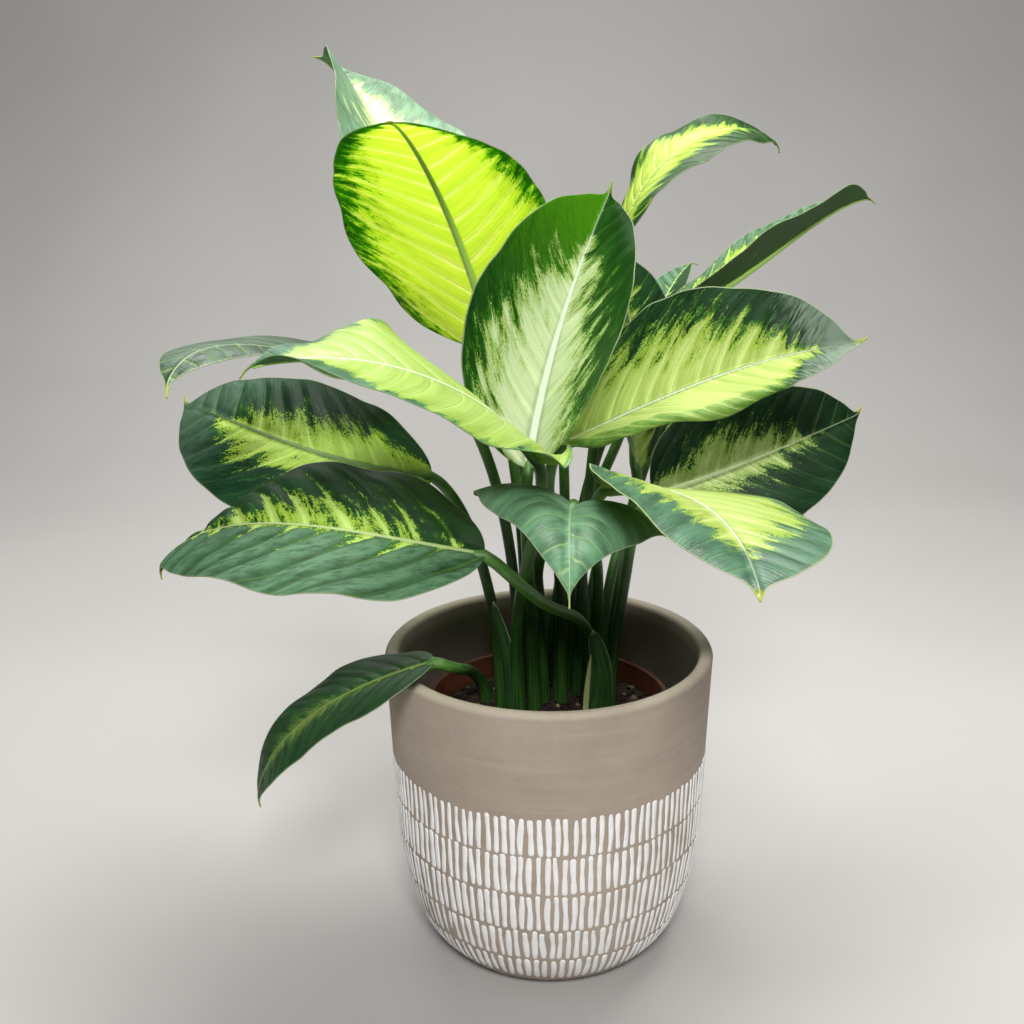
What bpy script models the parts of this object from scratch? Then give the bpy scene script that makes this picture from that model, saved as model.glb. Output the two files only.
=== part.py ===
"""A potted dumb cane: variegated leaves on sheathed stalks, soil, a plastic nursery pot and a cover pot.

Sizes below are in millimetres and turned into metres where the meshes are made. +Z is up, the plant's
front faces -Y, and the origin is the centre of the cover pot's foot.
"""

import math

import bmesh
import bpy
import numpy as np

MM = 0.001
CLEARANCE = 0.3
PAST = 3.0  # how far a cutter reaches beyond what it cuts

# Cover pot. Its side is (radius, height) pairs from under the rim down to the foot.
POT_HEIGHT = 155.0
POT_RIM_RADIUS = 80.0
POT_WALL = 7.0
POT_FLOOR = 12.0
POT_FOOT_RADIUS = 46.0
POT_LIP_ROUNDING = 3.2
POT_SIDE = [
    (78.9, 130.0),
    (78.0, 104.0),
    (77.3, 84.0),
    (76.4, 64.0),
    (73.6, 43.0),
    (69.3, 25.0),
    (63.0, 11.5),
    (56.0, 3.6),
    (50.0, 0.8),
]
POT_INNER_CORNER = [(58.0, 4.0), (52.0, 0.0)]  # radius, height above the floor
POT_CORNER_TOP = 6.0
POT_STEPS = 48

# Nursery pot, which stands on the cover pot's floor
NURSERY_RIM_RADIUS = 60.0
NURSERY_BASE_RADIUS = 45.0
NURSERY_FOOT = POT_FLOOR + CLEARANCE
NURSERY_RIM_HEIGHT = 127.0
NURSERY_WALL = 1.2
NURSERY_LIP = 2.2
NURSERY_LIP_DEPTH = 9.0
NURSERY_LIP_STEP = 1.0
NURSERY_FOOT_BEVEL = (1.5, 4.0)  # inwards, upwards
DRAIN_HOLES = 6
DRAIN_RADIUS = 4.0
DRAIN_RING = 31.0
DRAIN_SIDES = 12
NURSERY_STEPS = 40

# Soil
SOIL_TOP = 117.0
SOIL_CROWN = 2.0
SOIL_EDGE_DROP = 1.0
SOIL_GAP = 0.45
SOIL_STEPS = 40
STALK_DEPTH = 24.0
HOLE_SLACK = 0.55  # a hole has flat sides, which lie nearer its axis than its corners
HOLE_SIDES = 16

# Blades. Shares run from 0 at a blade's base to 1 at its tip, or from its midrib to its margin.
BLADE_THICKNESS = 0.8
TIP_HALF_WIDTH = 0.6
BASE_POWER = 0.52
TIP_POWER = 0.85
TIP_START = 0.8  # from here on the outline draws in to a narrow tip
TIP_DRAWN_IN = 0.45
RIB_TAPER = 0.75
RIB_WIDEST = 0.3
RIB_DEPTH = 1.5
RIB_FADE = 0.7
MIDDLE_COLUMN = 0.6
LATE_POWER = 8  # how late a late fold sets in
OTHER_SIDE_START = 1.9  # so that the two margins don't wave together
ROWS = (0.0, 0.015, 0.05, 0.11, 0.19, 0.28, 0.37, 0.46, 0.55, 0.64, 0.73, 0.81, 0.88, 0.94, 1.0)

# Stalks
STALK_RADIUS = 2.7
FOOT_RADIUS = 3.3
SHEATH_SHARE = 0.35  # how far up a stalk its thick foot runs
STALK_ROWS = 8
STALK_EDGE = 12.0  # degrees from the stalk's side to its first point
ARRIVE_LIFT = 0.7

COVER_CLAY = (0.38, 0.32, 0.26)
TERRACOTTA = (0.22, 0.06, 0.03)
SOIL_BROWN = (0.018, 0.012, 0.008)
DARK_GREEN = (0.03, 0.12, 0.03)
MID_GREEN = (0.08, 0.24, 0.04)
YELLOW_GREEN = (0.38, 0.55, 0.08)
CREAM_GREEN = (0.50, 0.62, 0.25)

# One row for each leaf. foot is where its stalk leaves the soil and base where the blade begins; via are
# points the stalk passes. heading turns from +X, rise is the blade's first slope, droop how far it has
# turned down at the tip (evenly, then late), sweep how far it turns sideways. roll and twist turn it about
# the midrib, fold raises both halves, curl bends the margins down. wave is the margin's (height, number,
# start).
LEAVES = {
    "leaf_top_back_left": dict(
        foot=(-3, 29), via=[(-20, 80, 240), (-47, 95, 300)], base=(-69, 96, 351),
        heading=112, rise=46, length=150, width=90, droop=(5, 20), sweep=23,
        roll=1, twist=33, fold=26, curl=0.05, wave=(2.0, 2.4, 0.4),
        colour=CREAM_GREEN,
    ),
    "leaf_top_left": dict(
        foot=(-11, 21), via=[(-15, 40, 215)], base=(-27, 72, 289),
        heading=-137, rise=73, length=171, width=111, droop=(39, 42), sweep=45,
        roll=14, twist=-14, fold=3, curl=0.15, wave=(2.2, 3.2, 1.0),
        colour=YELLOW_GREEN,
    ),
    "leaf_centre": dict(
        foot=(-7, 3), via=[(-9, -9, 190)], base=(-9, -27, 250),
        heading=72, rise=61, length=149, width=97, droop=(16, -7), sweep=-20,
        roll=6, twist=29, fold=47, curl=-0.11, wave=(1.6, 2.6, 2.4),
        colour=CREAM_GREEN, foot_radius=3.9,
    ),
    "leaf_right": dict(
        foot=(6, 14), via=[(4, 11, 200)], base=(7, 2, 255),
        heading=-13, rise=28, length=144, width=97, droop=(6, 18), sweep=1,
        roll=16, twist=32, fold=24, curl=-0.02, wave=(2.0, 2.5, 0.2),
        colour=YELLOW_GREEN, foot_radius=4.2,
    ),
    "leaf_right_low": dict(
        foot=(31, 11), via=[(39, 14, 190)], base=(51, 15, 226),
        heading=9, rise=15, length=120, width=76, droop=(-6, 7), sweep=19,
        roll=47, twist=27, fold=16, curl=0.12, wave=(1.5, 2.4, 1.2),
        colour=DARK_GREEN,
    ),
    "leaf_right_front": dict(
        foot=(20, 13), via=[(24, 2, 190)], base=(25, -38, 244),
        heading=-50, rise=17, length=140, width=90, droop=(36, 3), sweep=-40,
        roll=-20, twist=11, fold=8, curl=0.04, wave=(1.6, 2.2, 3.0),
        colour=YELLOW_GREEN, base_power=0.85,
        tip_power=0.8,
    ),
    "leaf_front": dict(
        foot=(-3, 12), via=[(-4, 0, 200)], base=(11, -51, 241),
        heading=-94, rise=12, length=101, width=96, droop=(2, 80), sweep=4,
        roll=-10, twist=-4, fold=33, curl=0.58, wave=(1.6, 2.6, 0.7),
        colour=MID_GREEN, base_power=0.52, tip_power=1.5, foot_radius=4.0, sheath=0.85,
    ),
    "leaf_left_low": dict(
        foot=(23, 3), via=[(18, -6, 165), (0, -38, 189)], base=(-27, -60, 221),
        heading=180, rise=10, length=168, width=98, droop=(2, 66), sweep=-22,
        roll=-15, twist=-8, fold=10, curl=0.13, wave=(1.8, 3.4, 0.9),
        colour=DARK_GREEN, foot_radius=4.8, sheath=0.4,
        late_fold=(0, -120),
    ),
    "leaf_left_mid": dict(
        foot=(-23, 6), via=[(-33, 8, 195)], base=(-56, 12, 237),
        heading=185, rise=7, length=167, width=86, droop=(-21, 41), sweep=-62,
        roll=-31, twist=-11, fold=4, curl=0.14, wave=(1.6, 3.0, 2.0),
        colour=DARK_GREEN, foot_radius=4.4, sheath=0.35,
    ),
    "leaf_left_high": dict(
        foot=(-15, -3), via=[(-12, -26, 195)], base=(-4, -47, 259),
        heading=246, rise=42, length=156, width=80, droop=(28, 29), sweep=-51,
        roll=-23, twist=2, fold=5, curl=0.12, wave=(2.4, 2.8, 2.6),
        colour=YELLOW_GREEN, foot_radius=4.2,
        late_fold=(110, 0),
    ),
    "leaf_far_left": dict(
        foot=(-15, 13), via=[(-19, 14, 200)], base=(-61, 22, 291),
        heading=196, rise=4, length=158, width=52, droop=(-33, 75), sweep=74,
        roll=-22, twist=28, fold=3, curl=0.13, wave=(1.4, 2.2, 0.0),
        colour=MID_GREEN,
    ),
    "leaf_spill": dict(
        foot=(-32, 14), via=[(-38, -5, 142)], base=(-52, -45, 165),
        heading=178, rise=-17, length=116, width=51, droop=(19, 54), sweep=22,
        roll=-4, twist=-8, fold=4, curl=0.08, wave=(1.0, 2.6, 0.5),
        colour=DARK_GREEN,
    ),
    "leaf_top_right": dict(
        foot=(15, 22), via=[(22, 40, 235)], base=(37, 72, 344),
        heading=7, rise=78, length=122, width=47, droop=(99, 16), sweep=27,
        roll=1, twist=31, fold=7, curl=0.12, wave=(1.8, 2.8, 1.2),
        colour=YELLOW_GREEN,
    ),
    "leaf_far_right": dict(
        foot=(10, 30), via=[(20, 48, 220)], base=(63, 70, 306),
        heading=19, rise=23, length=150, width=60, droop=(-21, 46), sweep=23,
        roll=-10, twist=0, fold=22, curl=0.08, wave=(1.4, 2.5, 0.3),
        colour=MID_GREEN,
        fold_right=38,
        late_fold=(0, 30),
    ),
    "leaf_behind_centre": dict(
        foot=(27, 21), via=[(36, 40, 190)], base=(46, 50, 230),
        heading=141, rise=84, length=118, width=60, droop=(-12, 44), sweep=-6,
        roll=18, twist=-35, fold=20, curl=0.05, wave=(1.4, 2.4, 0.8),
        colour=MID_GREEN,
    ),
    "leaf_behind_right": dict(
        foot=(22, 31), via=[(21, 66, 200)], base=(44, 88, 259),
        heading=50, rise=68, length=97, width=36, droop=(27, 26), sweep=4,
        roll=-6, twist=-1, fold=23, curl=0.06, wave=(1.0, 2.2, 0.0),
        colour=MID_GREEN,
    ),
    "leaf_back_centre": dict(
        foot=(0, 39), via=[(8, 50, 190)], base=(8, 66, 242),
        heading=92, rise=45, length=108, width=54, droop=(35, 10), sweep=8,
        roll=4, twist=4, fold=14, curl=0.10, wave=(1.6, 2.6, 0.8),
        colour=DARK_GREEN,
    ),
    "leaf_back_right": dict(
        foot=(31, 31), via=[(40, 48, 190)], base=(60, 76, 246),
        heading=32, rise=34, length=106, width=58, droop=(30, 10), sweep=-6,
        roll=2, twist=6, fold=14, curl=0.10, wave=(1.6, 2.4, 2.0),
        colour=DARK_GREEN,
    ),
}


def clear_scene():
    for thing in list(bpy.data.objects):
        bpy.data.objects.remove(thing, do_unlink=True)


def material(name, colour, roughness):
    made = bpy.data.materials.new(name)
    made.use_nodes = True
    shader = made.node_tree.nodes["Principled BSDF"]
    shader.inputs["Base Color"].default_value = (*colour, 1.0)
    shader.inputs["Roughness"].default_value = roughness
    shader.inputs["Metallic"].default_value = 0.0
    made.diffuse_color = (*colour, 1.0)
    return made


def mesh_object(name, mesh, surface):
    thing = bpy.data.objects.new(name, mesh)
    bpy.context.scene.collection.objects.link(thing)
    if surface:
        mesh.materials.append(surface)
    return thing


def turned(name, profile, steps, surface):
    """A closed outline, as (radius, height) pairs down the outer side first, turned about the Z axis."""
    shape = bmesh.new()
    corners = [shape.verts.new((radius * MM, 0.0, height * MM)) for radius, height in profile]
    for first, second in zip(corners, corners[1:]):
        shape.edges.new((first, second))
    mesh = bpy.data.meshes.new(name)
    shape.to_mesh(mesh)
    shape.free()
    thing = mesh_object(name, mesh, surface)
    screw = thing.modifiers.new("turn", "SCREW")
    screw.axis = "Z"
    screw.steps = steps
    screw.render_steps = steps
    screw.use_merge_vertices = True
    screw.merge_threshold = 1e-5
    screw.use_smooth_shade = True
    return thing


def cutter(name, centre, radius, bottom, top, sides):
    """A hidden upright cylinder that a Boolean takes away."""
    bpy.ops.mesh.primitive_cylinder_add(
        vertices=sides,
        radius=radius * MM,
        depth=(top - bottom) * MM,
        location=(centre[0] * MM, centre[1] * MM, (bottom + top) / 2 * MM),
    )
    thing = bpy.context.object
    thing.name = name
    thing.hide_render = True
    thing.display_type = "WIRE"
    return thing


def cut(target, tools, name):
    """Takes every tool away from the target with one Boolean, through a hidden collection."""
    group = bpy.data.collections.new(name)
    bpy.context.scene.collection.children.link(group)
    group.hide_render = True
    for tool in tools:
        for holder in list(tool.users_collection):
            holder.objects.unlink(tool)
        group.objects.link(tool)
    boolean = target.modifiers.new(name, "BOOLEAN")
    boolean.operation = "DIFFERENCE"
    boolean.operand_type = "COLLECTION"
    boolean.collection = group
    boolean.solver = "EXACT"


def rounded_lip(outer, inner, top, rounding, steps=4):
    """The rim's section from its outer side over the top to its inner side."""
    points = []
    for step in range(steps + 1):
        angle = math.pi / 2 * step / steps
        height = top - rounding + rounding * math.sin(angle)
        points.append((outer - rounding + rounding * math.cos(angle), height))
    for step in range(steps + 1):
        angle = math.pi / 2 * (1 - step / steps)
        height = top - rounding + rounding * math.sin(angle)
        points.append((inner + rounding - rounding * math.cos(angle), height))
    return points


def cover_pot():
    inner_rim = POT_RIM_RADIUS - POT_WALL
    lip = rounded_lip(POT_RIM_RADIUS, inner_rim, POT_HEIGHT, POT_LIP_ROUNDING)
    inner = [(r - POT_WALL, h) for r, h in POT_SIDE if h > POT_FLOOR + POT_CORNER_TOP]
    corner = [(r, POT_FLOOR + h) for r, h in POT_INNER_CORNER]
    outside = [(0.0, 0.0), (POT_FOOT_RADIUS, 0.0)] + POT_SIDE[::-1] + lip
    profile = outside + inner + corner + [(0.0, POT_FLOOR)]
    return turned("cover_pot", profile[::-1], POT_STEPS, material("fired clay", COVER_CLAY, 0.85))


def nursery_radius(height):
    share = (height - NURSERY_FOOT) / (NURSERY_RIM_HEIGHT - NURSERY_FOOT)
    return NURSERY_BASE_RADIUS + (NURSERY_RIM_RADIUS - NURSERY_LIP - NURSERY_BASE_RADIUS) * share


def nursery_pot():
    lip_foot = NURSERY_RIM_HEIGHT - NURSERY_LIP_DEPTH
    floor = NURSERY_FOOT + NURSERY_WALL
    bevel_in, bevel_up = NURSERY_FOOT_BEVEL
    profile = [
        (0.0, floor),
        (nursery_radius(floor) - NURSERY_WALL, floor),
        (nursery_radius(lip_foot) - NURSERY_WALL, lip_foot),
        (NURSERY_RIM_RADIUS - NURSERY_LIP, NURSERY_RIM_HEIGHT),
        (NURSERY_RIM_RADIUS, NURSERY_RIM_HEIGHT),
        (NURSERY_RIM_RADIUS, lip_foot),
        (nursery_radius(lip_foot), lip_foot - NURSERY_LIP_STEP),
        (nursery_radius(NURSERY_FOOT + bevel_up), NURSERY_FOOT + bevel_up),
        (NURSERY_BASE_RADIUS - bevel_in, NURSERY_FOOT),
        (0.0, NURSERY_FOOT),
    ]
    plastic = material("terracotta plastic", TERRACOTTA, 0.5)
    pot = turned("nursery_pot", profile, NURSERY_STEPS, plastic)
    holes = []
    for number in range(DRAIN_HOLES):
        turn = 2 * math.pi * (number + 0.5) / DRAIN_HOLES
        centre = (DRAIN_RING * math.cos(turn), DRAIN_RING * math.sin(turn))
        bottom, top = NURSERY_FOOT - PAST, floor + PAST
        holes.append(cutter(f"drain_{number}", centre, DRAIN_RADIUS, bottom, top, DRAIN_SIDES))
    cut(pot, holes, "drain holes")
    return pot


def soil():
    floor = NURSERY_FOOT + NURSERY_WALL + CLEARANCE
    low = nursery_radius(floor) - NURSERY_WALL - SOIL_GAP
    high = nursery_radius(SOIL_TOP) - NURSERY_WALL - SOIL_GAP
    profile = [
        (0.0, SOIL_TOP + SOIL_CROWN),
        (high * 0.4, SOIL_TOP + SOIL_CROWN * 0.8),
        (high * 0.8, SOIL_TOP),
        (high, SOIL_TOP - SOIL_EDGE_DROP),
        (low, floor),
        (0.0, floor),
    ]
    earth = turned("soil", profile[::-1], SOIL_STEPS, material("potting soil", SOIL_BROWN, 0.95))
    holes = []
    for name, leaf in LEAVES.items():
        radius = foot_radius(leaf) + HOLE_SLACK
        bottom = SOIL_TOP - STALK_DEPTH - CLEARANCE
        top = SOIL_TOP + SOIL_CROWN + PAST
        holes.append(cutter(f"hole_{name}", leaf["foot"], radius, bottom, top, HOLE_SIDES))
    cut(earth, holes, "stalk holes")
    return earth


def foot_radius(leaf):
    return leaf.get("foot_radius", FOOT_RADIUS)


def unit(vectors):
    return vectors / np.linalg.norm(vectors, axis=-1, keepdims=True)


def curve_through(points, first_way, last_way, count):
    """Samples of a smooth curve through the points that leaves and arrives in the given directions."""
    points = np.array(points, float)
    steps = np.linalg.norm(np.diff(points, axis=0), axis=1)
    knots = np.concatenate([[0.0], np.cumsum(steps)])
    size = len(points)
    system = np.zeros((size, size))
    right = np.zeros((size, 3))
    system[0, 0] = system[-1, -1] = 1.0
    right[0], right[-1] = first_way, last_way
    for i in range(1, size - 1):
        before, after = steps[i - 1], steps[i]
        system[i, i - 1 : i + 2] = after, 2 * (before + after), before
        chord_before = (points[i] - points[i - 1]) / before
        chord_after = (points[i + 1] - points[i]) / after
        right[i] = 3 * (after * chord_before + before * chord_after)
    slopes = np.linalg.solve(system, right)
    samples = []
    for at in np.linspace(0, knots[-1], count):
        i = min(int(np.searchsorted(knots, at, side="right")) - 1, size - 2)
        span = steps[i]
        u = (at - knots[i]) / span
        samples.append(
            (2 * u**3 - 3 * u**2 + 1) * points[i]
            + (u**3 - 2 * u**2 + u) * span * slopes[i]
            + (3 * u**2 - 2 * u**3) * points[i + 1]
            + (u**3 - u**2) * span * slopes[i + 1]
        )
    return np.array(samples)


def outline(leaf, share):
    """Half-width of a blade along its midrib, as a share of the widest: round base, drawn-out tip."""
    low = leaf.get("base_power", BASE_POWER)
    high = leaf.get("tip_power", TIP_POWER)
    widest = low / (low + high)
    width = (share / widest) ** low * ((1 - share) / (1 - widest)) ** high
    late = np.clip((share - TIP_START) / (1 - TIP_START), 0, 1)
    return width * (1 - TIP_DRAWN_IN * late * late * (3 - 2 * late))


def blade_frame(leaf, shares):
    """Midrib points with their directions: along the blade, to its left side and out of its upper face."""
    fine = np.linspace(0, 1, 101)
    even, late = leaf["droop"]
    slope = np.radians(leaf["rise"] - even * fine - late * fine**3)
    turn = np.radians(leaf["heading"] + leaf["sweep"] * fine)
    along = np.stack([np.cos(turn) * np.cos(slope), np.sin(turn) * np.cos(slope), np.sin(slope)], -1)
    steps = (along[1:] + along[:-1]) / 2 * leaf["length"] / 100
    midrib = np.concatenate([np.zeros((1, 3)), np.cumsum(steps, 0)]) + np.array(leaf["base"], float)
    level = np.stack([-np.sin(turn), np.cos(turn), 0 * turn], -1)
    upright = np.cross(along, level)
    roll = np.radians(leaf["roll"] + leaf["twist"] * fine)[:, None]
    side = np.cos(roll) * level + np.sin(roll) * upright
    out = np.cross(along, side)

    def at(values):
        return np.stack([np.interp(shares, fine, values[:, axis]) for axis in range(3)], -1)

    return at(midrib), unit(at(along)), unit(at(side)), unit(at(out))


def blade_rows(leaf):
    """Rings of points round the blade, one for each row: over the upper face to its left, then back."""
    shares = np.array(ROWS)
    midrib, along, side, out = blade_frame(leaf, shares)
    half = leaf["width"] / 2 * outline(leaf, shares)
    late_left, late_right = leaf.get("late_fold", (0.0, 0.0))
    height, number, start = leaf["wave"]
    rings = []
    for row, share in enumerate(shares):
        reach = max(half[row], TIP_HALF_WIDTH)
        stalk = STALK_RADIUS * (1 - RIB_TAPER * share)
        rib = min(stalk, RIB_WIDEST * reach)
        middle = MIDDLE_COLUMN * reach
        places = np.array([-reach, -middle, -rib, 0.0, rib, middle, reach])
        share_out = np.abs(places) / reach
        late = share**LATE_POWER
        left_fold = leaf["fold"] + late_left * late
        right_fold = leaf.get("fold_right", leaf["fold"]) + late_right * late
        fold = np.radians(np.where(places > 0, left_fold, right_fold))
        lift = np.abs(places) * np.sin(fold) - leaf["curl"] * reach * share_out**2
        swing = np.where(places > 0, start, start + OTHER_SIDE_START)
        ripple = np.sin(2 * math.pi * number * share + swing) * height * outline(leaf, share)
        rise = lift + ripple * share_out**3
        upper = midrib[row] + np.outer(places * np.cos(fold), side[row]) + np.outer(rise, out[row])
        thick = np.full(len(places), BLADE_THICKNESS)
        thick[len(places) // 2] += RIB_DEPTH * stalk * (1 - share) ** RIB_FADE
        lower = upper - np.outer(thick, out[row])
        rings.append(np.concatenate([upper, lower[::-1]]))
    round_end = stalk_ring(midrib[0], side[0], out[0], STALK_RADIUS, STALK_RADIUS)
    return [round_end] + rings[1:]


def stalk_ring(centre, side, out, across, through):
    """A round section with a point for each of the blade's fourteen."""
    steps = np.radians(np.linspace(180 - STALK_EDGE, STALK_EDGE, 7))
    upper = centre + np.outer(across * np.cos(steps), side) + np.outer(through * np.sin(steps), out)
    lower = centre + np.outer(across * np.cos(steps), side) - np.outer(through * np.sin(steps), out)
    return np.concatenate([upper, lower[::-1]])


def stalk_rows(leaf):
    """Rings up the stalk, from the bottom of its hole to just under the blade."""
    foot = np.array([*leaf["foot"], SOIL_TOP], float)
    base = np.array(leaf["base"], float)
    _, along, side, out = blade_frame(leaf, np.zeros(1))
    arrive = unit(along[0] + np.array([0, 0, ARRIVE_LIFT]))
    path = curve_through([foot, *leaf["via"], base], (0, 0, 1), arrive, STALK_ROWS + 1)
    ways = unit(np.gradient(path, axis=0))
    ways[0] = (0, 0, 1)
    sides = [side[0]]
    for way in ways[::-1]:
        sides.append(unit(sides[-1] - way * (sides[-1] @ way)))
    sides = sides[1:][::-1]
    sheath = leaf.get("sheath", SHEATH_SHARE)
    thick = foot_radius(leaf)
    rings = []
    for number, (centre, way, across) in enumerate(zip(path[:-1], ways, sides)):
        share = min(number / STALK_ROWS / sheath, 1.0)
        radius = thick + (STALK_RADIUS - thick) * share
        rings.append(stalk_ring(centre, across, np.cross(way, across), radius, radius))
    sunk = rings[0] - np.array([0, 0, STALK_DEPTH])
    return [sunk] + rings


def leaf_solid(name, leaf):
    """One leaf as a closed skin: the stalk's rings run on into the blade's, capped at both ends."""
    rings = np.array(stalk_rows(leaf) + blade_rows(leaf)) * MM
    count = rings.shape[1]
    shape = bmesh.new()
    rows = [[shape.verts.new(point) for point in ring] for ring in rings]
    for first, second in zip(rows, rows[1:]):
        for here in range(count):
            after = (here + 1) % count
            # The lower face is split the same way as the upper one, so that the two never meet
            if here < count // 2:
                shape.faces.new((first[here], first[after], second[after]))
                shape.faces.new((first[here], second[after], second[here]))
            else:
                shape.faces.new((first[here], first[after], second[here]))
                shape.faces.new((first[after], second[after], second[here]))
    for ring in (rows[0][::-1], rows[-1]):
        half = count // 2
        for here in range(half - 1):
            quad = (ring[here], ring[here + 1], ring[count - 2 - here], ring[count - 1 - here])
            shape.faces.new(quad[:3])
            shape.faces.new((quad[0], quad[2], quad[3]))
    bmesh.ops.recalc_face_normals(shape, faces=shape.faces)
    for face in shape.faces:
        face.smooth = True
    mesh = bpy.data.meshes.new(name)
    shape.to_mesh(mesh)
    shape.free()
    return mesh_object(name, mesh, material(name, leaf["colour"], 0.42))


clear_scene()
cover_pot()
nursery_pot()
soil()
for leaf_name, leaf_values in LEAVES.items():
    leaf_solid(leaf_name, leaf_values)
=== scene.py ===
import math
import random

import bmesh
import bpy
import numpy as np
from mathutils import Matrix, Vector, noise


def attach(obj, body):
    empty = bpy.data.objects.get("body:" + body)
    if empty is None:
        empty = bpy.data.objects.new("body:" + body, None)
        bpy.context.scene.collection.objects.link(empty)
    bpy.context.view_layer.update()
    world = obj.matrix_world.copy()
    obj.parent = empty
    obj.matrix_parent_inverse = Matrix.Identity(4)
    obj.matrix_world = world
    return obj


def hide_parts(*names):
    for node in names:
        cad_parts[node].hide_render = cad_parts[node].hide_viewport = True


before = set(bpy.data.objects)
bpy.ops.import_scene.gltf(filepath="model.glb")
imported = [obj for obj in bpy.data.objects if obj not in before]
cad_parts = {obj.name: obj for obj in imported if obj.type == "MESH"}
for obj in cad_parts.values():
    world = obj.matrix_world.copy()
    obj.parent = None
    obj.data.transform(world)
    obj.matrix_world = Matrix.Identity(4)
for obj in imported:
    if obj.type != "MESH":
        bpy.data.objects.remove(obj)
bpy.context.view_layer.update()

MM = 0.001

# The pots and the soil, in millimetres as in the part's source
POT_HEIGHT = 155.0
POT_RIM_RADIUS = 80.0
POT_WALL = 7.0
POT_FLOOR = 12.0
POT_LIP_ROUNDING = 3.2
POT_SIDE = [
    (46.0, 0.0), (50.0, 0.8), (56.0, 3.6), (63.0, 11.5), (69.3, 25.0), (73.6, 43.0),
    (76.4, 64.0), (77.3, 84.0), (78.0, 104.0), (78.9, 130.0), (79.8, 151.8),
]
DASH_ROWS = [(104.0, 84.4), (84.0, 64.2), (63.6, 43.4), (42.8, 25.2), (24.6, 7.2)]
DASH_PITCH = 4.0
DASH_WIDTH = 2.5
DASH_HEIGHT = 0.55
NURSERY_RIM_HEIGHT = 127.0
NURSERY_RIM_RADIUS = 60.0
SOIL_TOP = 117.0
SOIL_RADIUS = 55.6

# The blades' build, as in the part's source
BASE_POWER = 0.52
TIP_POWER = 0.85
TIP_START = 0.8
TIP_DRAWN_IN = 0.45
TIP_HALF_WIDTH = 0.35
OTHER_SIDE_START = 1.9
STALK_RADIUS = 2.7
FOOT_RADIUS = 3.3
SHEATH_SHARE = 0.35
ARRIVE_LIFT = 0.7
ROWS = 124
COLUMNS = 57
WHIP_START = 0.9
WHIP_SHARE = 0.55
BLADE_THICKNESS = 0.6
STALK_SIDES = 16

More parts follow.
